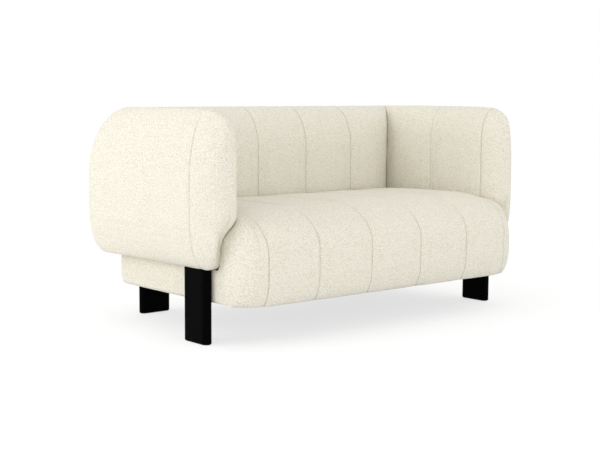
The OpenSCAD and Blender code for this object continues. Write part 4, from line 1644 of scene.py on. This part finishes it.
@dataclass(frozen=True)
class PatternFinish(Finish):
    """Foam, wood, plastic or plated steel, whose looks all follow one pattern.

    Attributes:
        pattern: The pattern, with the shade where its mask is 0.
        scales: Values of the pattern's inputs after its place.
        relief: Strength and distance of the bump.
        gloss: Two values of the mask and what they add to the roughness, or None for an even gloss.
        metallic: Share of metal.
    """

    pattern: Pattern = Pattern.MOTTLE
    scales: Point = (60.0, 900.0)
    relief: Point = (0.4, 0.0008)
    gloss: Span | None = None
    metallic: float = 0.0

    def dress(self, surface: Surface, colour: Feed, shade: Feed) -> None:
        """Feeds colour, gloss and bump from the pattern.

        Args:
            surface: Tree with the shader.
            colour: Colour where the mask is 1.
            shade: Colour where the mask is 0.
        """
        drawn = surface.pattern(self.pattern, **dict(zip(self.pattern.value[1:], self.scales)))
        surface.paint(drawn["Mask"], shade, colour)
        if self.gloss is not None:
            low, high, at_low, at_high = self.gloss
            surface.rough(drawn["Mask"], low, high, self.roughness + at_low, self.roughness + at_high)
        surface.fix(Metallic=self.metallic)
        surface.bump(drawn["Height"], *self.relief)


@dataclass(frozen=True)
class WovenStrap(Finish):
    """Woven webbing or a thin lining cloth."""

    pitch: float = 0.0016

    def dress(self, surface: Surface, colour: Feed, shade: Feed) -> None:
        """Feeds colour and bump from the weave.

        Args:
            surface: Tree with the shader.
            colour: Colour of the threads.
            shade: Colour between the threads.
        """
        weave = surface.pattern(Pattern.WEAVE, Pitch=self.pitch)
        mottle = surface.pattern(Pattern.MOTTLE, Size=40.0, Fine=300.0)
        surface.paint(surface.math("MULTIPLY", weave["Mask"], mottle["Mask"]), colour, shade)
        surface.bump(weave["Height"], 0.5, 0.0004)


@dataclass(frozen=True)
class BlackLacquer(Finish):
    """Black satin lacquer over fine upright grain, scuffed a little towards the floor."""

    specular: float = 0.012
    scuff_height: float = 0.05

    def dress(self, surface: Surface, colour: Feed, shade: Feed) -> None:
        """Feeds colour, gloss and bump from the grain and the scuffs.

        Args:
            surface: Tree with the shader.
            colour: Colour of the lacquer.
            shade: Colour of its grain and scuffs.
        """
        place = surface.place()
        turned = {"Vector": place, "Rotation": (math.radians(90), 0.0, 0.0)}
        upright = surface.add("ShaderNodeMapping", turned).outputs[0]
        grain = surface.pattern(Pattern.GRAIN, upright, Size=420.0, Stretch=16.0)
        smudge = surface.pattern(Pattern.MOTTLE, place, Size=14.0, Fine=160.0)["Mask"]
        height = surface.add("ShaderNodeSeparateXYZ", {"Vector": place}).outputs["Z"]
        scuff = surface.math("MULTIPLY", surface.span(height, 0.0, self.scuff_height, 1, 0),
                             surface.span(smudge, 0.52, 0.62, 0, 0.9))
        tone = surface.math("ADD", surface.math("MULTIPLY", grain["Mask"], 0.35), scuff, clamp=True)
        surface.paint(tone, colour, shade)
        surface.rough(smudge, 0.3, 0.7, self.roughness - 0.05, self.roughness + 0.08)
        surface.fix(Specular_IOR_Level=self.specular)
        surface.bump(grain["Height"], 0.12, 0.0003)


# What timber and plywood share
TIMBER = {"pattern": Pattern.GRAIN, "relief": (0.25, 0.0005), "gloss": (0, 1, 0.12, 0)}

FINISHES: dict[str, Finish] = {
    # The cloth's shade colour is painted shade between its loops
    "upholstery": LoopedCloth("looped_cloth", (0.94, 0.92, 0.832), (0.70, 0.655, 0.53), 0.92),
    "foam": PatternFinish("cut_foam", (0.86, 0.80, 0.52), (0.66, 0.58, 0.33), 0.95),
    "webbing": WovenStrap("woven_strap", (0.060, 0.064, 0.074), (0.018, 0.019, 0.022), 0.85),
    "dust_cloth": WovenStrap("lining_cloth", (0.022, 0.022, 0.022), (0.008, 0.008, 0.008), 0.95, 0.0011),
    "timber": PatternFinish("planed_timber", (0.62, 0.43, 0.24), (0.44, 0.27, 0.13), 0.62,
                            scales=(90.0, 9.0), **TIMBER),
    "plywood": PatternFinish("plain_plywood", (0.72, 0.55, 0.34), (0.56, 0.39, 0.21), 0.66,
                             scales=(60.0, 5.0), **TIMBER),
    "leg": BlackLacquer("black_lacquer", (0.0009, 0.0009, 0.0010), (0.0034, 0.0033, 0.0031), 0.45),
    "glide": PatternFinish("moulded_glide", (0.035, 0.035, 0.035), (0.018, 0.018, 0.018), 0.6,
                           scales=(120.0, 1400.0), relief=(0.3, 0.0003)),
    "steel": PatternFinish("plated_steel", (0.68, 0.69, 0.70), (0.48, 0.49, 0.51), 0.28,
                           scales=(90.0, 700.0), relief=(0.1, 0.0002), gloss=(0.3, 0.7, 0, 0.2),
                           metallic=1.0),
}


# The whole sofa


@dataclass
class Upholstery:
    """All padded pieces and the cloth round the base."""

    def build(self) -> None:
        self._add(SeatPad().build(), ("seat_cover", "seat_foam", "seat_front_foam"))
        for side in Side:
            word = side.word
            self._add(ArmPad(side).build(), (f"arm_cover_{word}", f"arm_foam_{word}"))
        self._add(BackPad().build(), ("back_cover", "back_foam"))
        self._add(BaseBand().build(), ("base_border_left", "base_border_right", "base_border_rear"))

    def _add(self, piece: bpy.types.Object, nodes: tuple[str, ...]) -> None:
        """Finishes one piece.

        Args:
            piece: The new piece.
            nodes: CAD nodes that it stands for.
        """
        rounding = piece.modifiers.new("smooth", "SUBSURF")
        rounding.levels = 1
        rounding.render_levels = 1
        piece.data.materials.append(FINISHES["upholstery"].material())
        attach(piece, "root")
        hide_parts(*nodes)
        log.info("%s: %d vertices", piece.name, len(piece.data.vertices))


@dataclass
class InnerFrame:
    """Timber, straps, legs and fasteners that stay as the CAD model has them."""

    def dress(self, frame: dict) -> None:
        """Gives every CAD node the material of its slot.
        """
        slots = {part["node"]: part["material_slot"] for part in frame["record"]["subparts"]}
        for name, node in frame["nodes"].items():
            material = FINISHES[slots[name]].material()
            for slot in node.material_slots:
                slot.material = material
            log.info("%s: %s", name, material.name)


@dataclass(frozen=True)
class Lamp:
    """A square soft lamp, with its side length and its power in watts."""

    name: str
    place: Place
    size: float
    power: float
    aim: Place = (0.0, 0.0, 0.42)

    def build(self) -> None:
        """Adds the lamp, turned to its aim."""
        data = bpy.data.lights.new(self.name, "AREA")
        data.shape = "SQUARE"
        data.size = self.size
        data.energy = self.power
        lamp = linked(self.name, data)
        lamp.location = self.place
        lamp.rotation_euler = (Vector(self.aim) - Vector(self.place)).to_track_quat("-Z", "Y").to_euler()


@dataclass
class Studio:
    """Plain pale room, soft lamps and the camera."""

    camera_place: Place = (-2.986, -3.458, 0.830)
    lens: float = 73.2
    sensor_width: float = 36
    clip_end: float = 200
    pitch: float = 6.297
    yaw: float = 40.178
    roll: float = 0.28
    floor_half: float = 40
    floor_light_share: float = 0.9
    floor_shadow_share: float = 0.3
    floor_glow: float = 0.71
    lamps: tuple[Lamp, ...] = (Lamp("lamp_left", (-3.8, 0.9, 1.75), 2.2, 42.0),
                               Lamp("lamp_front", (-0.3, -4.2, 0.9), 2.4, 24.0))

    def build(self) -> None:
        """Builds the floor, the world, the lamps and the camera."""
        self._floor()
        self._world()
        for lamp in self.lamps:
            lamp.build()
        self._camera()

    def _floor(self) -> None:
        """Adds a large pale floor that keeps the sofa's shadow."""
        bm = bmesh.new()
        bmesh.ops.create_grid(bm, x_segments=2, y_segments=2, size=self.floor_half)
        floor = placed("floor", bm)
        material = bpy.data.materials.new("pale_floor")
        nodes = Tree.of(material)
        path = nodes.add("ShaderNodeLightPath").outputs
        through = nodes.math("MAXIMUM", path["Is Glossy Ray"], path["Is Transmission Ray"])
        seen = nodes.math("MAXIMUM", path["Is Camera Ray"], through)
        light, shadow = (rgba((share,) * 3) for share in (self.floor_light_share, self.floor_shadow_share))
        diffuse = nodes.add("ShaderNodeBsdfDiffuse", {"Color": nodes.mix(seen, light, shadow)})
        glow = nodes.add("ShaderNodeEmission", {
            "Color": (1, 1, 1, 1), "Strength": nodes.math("MULTIPLY", seen, self.floor_glow)})
        both = nodes.add("ShaderNodeAddShader", {0: diffuse.outputs[0], 1: glow.outputs[0]})
        nodes.add("ShaderNodeOutputMaterial", {"Surface": both.outputs[0]})
        floor.data.materials.append(material)

    def _world(self) -> None:
        """Sets an even white room."""
        world = bpy.data.worlds.new("room")
        bpy.context.scene.world = world
        nodes = Tree.of(world)
        back = nodes.add("ShaderNodeBackground", {"Color": (1, 1, 1, 1), "Strength": 1.0})
        nodes.add("ShaderNodeOutputWorld", {"Surface": back.outputs[0]})

    def _camera(self) -> None:
        """Sets up the camera at the photograph's view."""
        data = bpy.data.cameras.new("camera")
        data.lens = self.lens
        data.sensor_width = self.sensor_width
        data.clip_end = self.clip_end
        camera = linked("camera", data)
        camera.location = self.camera_place
        turns = ((-self.yaw, "Z"), (90 - self.pitch, "X"), (self.roll, "Z"))
        aside, down, tilt = (Matrix.Rotation(math.radians(angle), 3, axis) for angle, axis in turns)
        camera.rotation_euler = (aside @ down @ tilt).to_euler()
        bpy.context.scene.camera = camera


def main() -> None:
    """Builds the upholstery, dresses the frame and sets up the studio."""
    logging.basicConfig(level=logging.INFO, format="%(name)s: %(message)s")
    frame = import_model()
    Upholstery().build()
    InnerFrame().dress(frame)
    Studio().build()
    view = bpy.context.scene.view_settings
    view.view_transform = "Standard"


if __name__ == "__main__":
    main()
